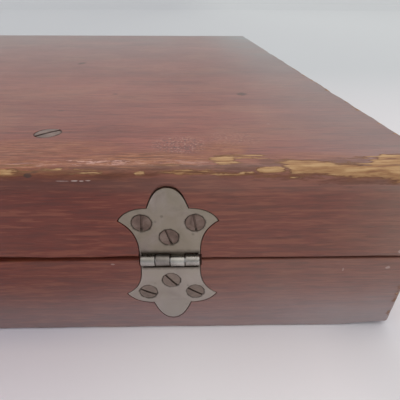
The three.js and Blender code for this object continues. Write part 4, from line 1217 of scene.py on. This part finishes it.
def ring_about_pivot(name, outer, z0, z1, knurled=0):
    """A turned collar on the pallet arbor; the nut's edge is knurled."""
    bore = 1.5
    rim = [(outer - 0.3, z0), (outer, z0 + 0.3), (outer, z1 - 0.3), (outer - 0.3, z1)]
    collar = lathe(name, [(bore, z0), *rim, (bore, z1), (bore, z0)], 72)
    if knurled:
        for vertex in collar.data.vertices:
            reach = math.hypot(vertex.co.x, vertex.co.y)
            if reach > (outer - 0.1) * MM:
                angle = math.atan2(vertex.co.y, vertex.co.x)
                shrink = 1 - 0.045 * (0.5 + 0.5 * math.cos(knurled * angle))
                vertex.co.x *= shrink
                vertex.co.y *= shrink
    return move(collar, *PIVOT)


dress(pendulum_bob(), "pendulum", turned_brass, "brass", "pendulum_bob")
dress(sliding_weight(), "weight", brass, "brass", "sliding_weight")
dress(front_plate(), "lid", brass, "brass", "movement_front_plate")
dress(back_plate(), "lid", brass, "brass", "movement_back_plate")
dress(barrel(), "barrel", turned_brass, "brass", "barrel_drum")
dress(key(), "winding", turned_brass, "brass", "winding_key")
hub = ring_about_pivot("look_pendulum_hub", 3.8, 18.5, 22.8)
dress(hub, "pendulum", turned_brass, "brass", "pendulum_hub")
nut = ring_about_pivot("look_pendulum_nut", 3.4, 15, 17.2, 18)
dress(nut, "pendulum", turned_brass, "brass", "pendulum_nut")
dress(scale_print(), "lid", black, "silvered_brass")

for index, (x, y) in enumerate(PLATE_CORNERS):
    small_screw(f"plate_screw_{index + 1}", x, y, PLATE_FRONT + 0.02, 2.4, 40 + 67 * index, blued)
for index, y in enumerate((SCALE_LOW + 2.6, SCALE_HIGH - 2.6)):
    for side in (-1, 1):
        name = f"scale_screw_{2 * index + (side > 0) + 1}"
        x, turn = side * (scale_half(y) - 3), 25 + 50 * index * side
        small_screw(name, x, y, SCALE_FACE + 0.02, 1.1, turn, brass)

# ---- CAD nodes that stay
STAYS = {
    "dark_mahogany": (dark_wood, 0.5),
    "baize": (baize, 0.3),
    "nickel": (plate_metal, 0.2),
    "screw_steel": (old_screw, 0.1),
    "steel": (steel, 0.06),
    "brass": (brass, 0.1),
    "silvered_brass": (silver, 0.12),
}
for node in nodes.values():
    slot_name = node.data.materials[0].name
    if slot_name in STAYS and not node.hide_render:
        finish, width = STAYS[slot_name]
        node.data.materials[0] = finish
        round_edges(node, width, 2, 50)

# ---- camera
PITCH, YAW, ROLL = 0.5432, 0.0204, -0.0046
SENSOR, FOCAL = 36, 0.811575
forward = Vector((math.sin(YAW) * math.cos(PITCH), math.cos(YAW) * math.cos(PITCH), -math.sin(PITCH)))
flat = Vector((math.cos(YAW), -math.sin(YAW), 0))
down = forward.cross(flat)
right = math.cos(ROLL) * flat + math.sin(ROLL) * down
below = -math.sin(ROLL) * flat + math.cos(ROLL) * down
camera = link("camera", bpy.data.cameras.new("camera"))
camera.data.sensor_width = SENSOR
camera.data.lens = SENSOR * FOCAL
camera.data.clip_start = 0.005
eye = Vector((HINGE_X + 6.1, -HALF_DEPTH - 61.98, AXIS_Z + 54.89)) * MM
camera.matrix_world = Matrix.Translation(eye) @ Matrix((right, -below, -forward)).transposed().to_4x4()
bpy.context.scene.camera = camera


# ---- stage
def floor_paint():
    """Pale paint with painted light right of the case's middle, painted shade past its right end, a painted
    contact shadow at its foot and painted light up the rim; greyer far off, more so to the left.
    """
    g = Graph("pale_table")
    cloud = g.cloud(9, 3, 0.5)
    g.color = g.mix(g.step(cloud, 0.35, 0.65), (0.85, 0.81, 0.885), (0.89, 0.855, 0.925))
    # painted light: the floor right of the case's middle made brighter
    g.paint(g.step(g.x, 0.040, 0.100), (0.955, 0.935, 0.985))
    # painted shade on the floor past the case's right end
    g.paint(g.step(g.x, 0.125, 0.150, 0.0, 0.16), (0.10, 0.12, 0.16))
    # painted contact shadow round the case's foot, strongest at its left
    beside = g.high(g.sub(g.size(g.x), HALF_WIDTH * MM), 0.0)
    before = g.high(g.sub(g.size(g.y), HALF_DEPTH * MM), 0.0)
    shadow = g.add(g.step(g.x, 0.090, 0.040, 0.05, 0.20), g.step(g.x, 0.120, 0.150, 0.0, 0.04))
    g.paint(g.mul(g.step(g.reach(beside, before), 0.0085, 0.0), shadow), (0.245, 0.305, 0.50))
    far = g.mix(g.step(g.x, -0.5, 0.9), (0.535, 0.56, 0.605), (0.625, 0.66, 0.695))
    front = g.mul(g.step(g.y, 0.30, -0.14), g.step(g.reach(g.x, g.y), 1.1, 0.3))
    g.color = g.mix(front, far, g.color)
    # painted light up the rising rim, far behind the case
    g.paint(g.mul(g.step(g.z, 0.0, 0.2), g.step(g.y, 0, 4, 0.0, 0.10)), (1, 1, 1))
    return g.finish(0.55, g.bump(g.cloud(700, 3, 0.6), 0.00005, 0.4))


def table_top():
    """A round table top whose far rim curves up, as a studio backdrop does."""
    radius, rise, rings = 14000, 5600, 30
    reaches = [radius * (i / rings) ** 2 for i in range(rings + 1)]
    return lathe("table_top", [(r, rise * ease(r, 0.45 * radius, radius)) for r in reaches], 96)


floor = table_top()
floor.data.materials.append(floor_paint())
floor.location.z = -0.0001


def studio_light(world):
    """A soft sky: bright overhead, behind and to the right, dimmer in front and to the left."""
    tree = world.node_tree
    place = tree.nodes.new("ShaderNodeTexCoord")
    facing = tree.nodes.new("ShaderNodeVectorMath")
    facing.operation = "DOT_PRODUCT"
    facing.inputs[1].default_value = Vector((0.35, 0.34, 0.87)).normalized()
    level = tree.nodes.new("ShaderNodeMapRange")
    level.interpolation_type = "SMOOTHSTEP"
    for key, value in (("From Min", -0.32), ("From Max", 0.85), ("To Min", 0.32), ("To Max", 1.13)):
        level.inputs[key].default_value = value
    back = tree.nodes["Background"]
    back.inputs["Color"].default_value = (1.0, 0.976, 0.94, 1)
    tree.links.new(place.outputs["Generated"], facing.inputs[0])
    tree.links.new(facing.outputs["Value"], level.inputs["Value"])
    tree.links.new(level.outputs["Result"], back.inputs["Strength"])


world = bpy.data.worlds.new("studio")
world.use_nodes = True
bpy.context.scene.world = world
studio_light(world)

bpy.context.scene.view_settings.view_transform = "Standard"
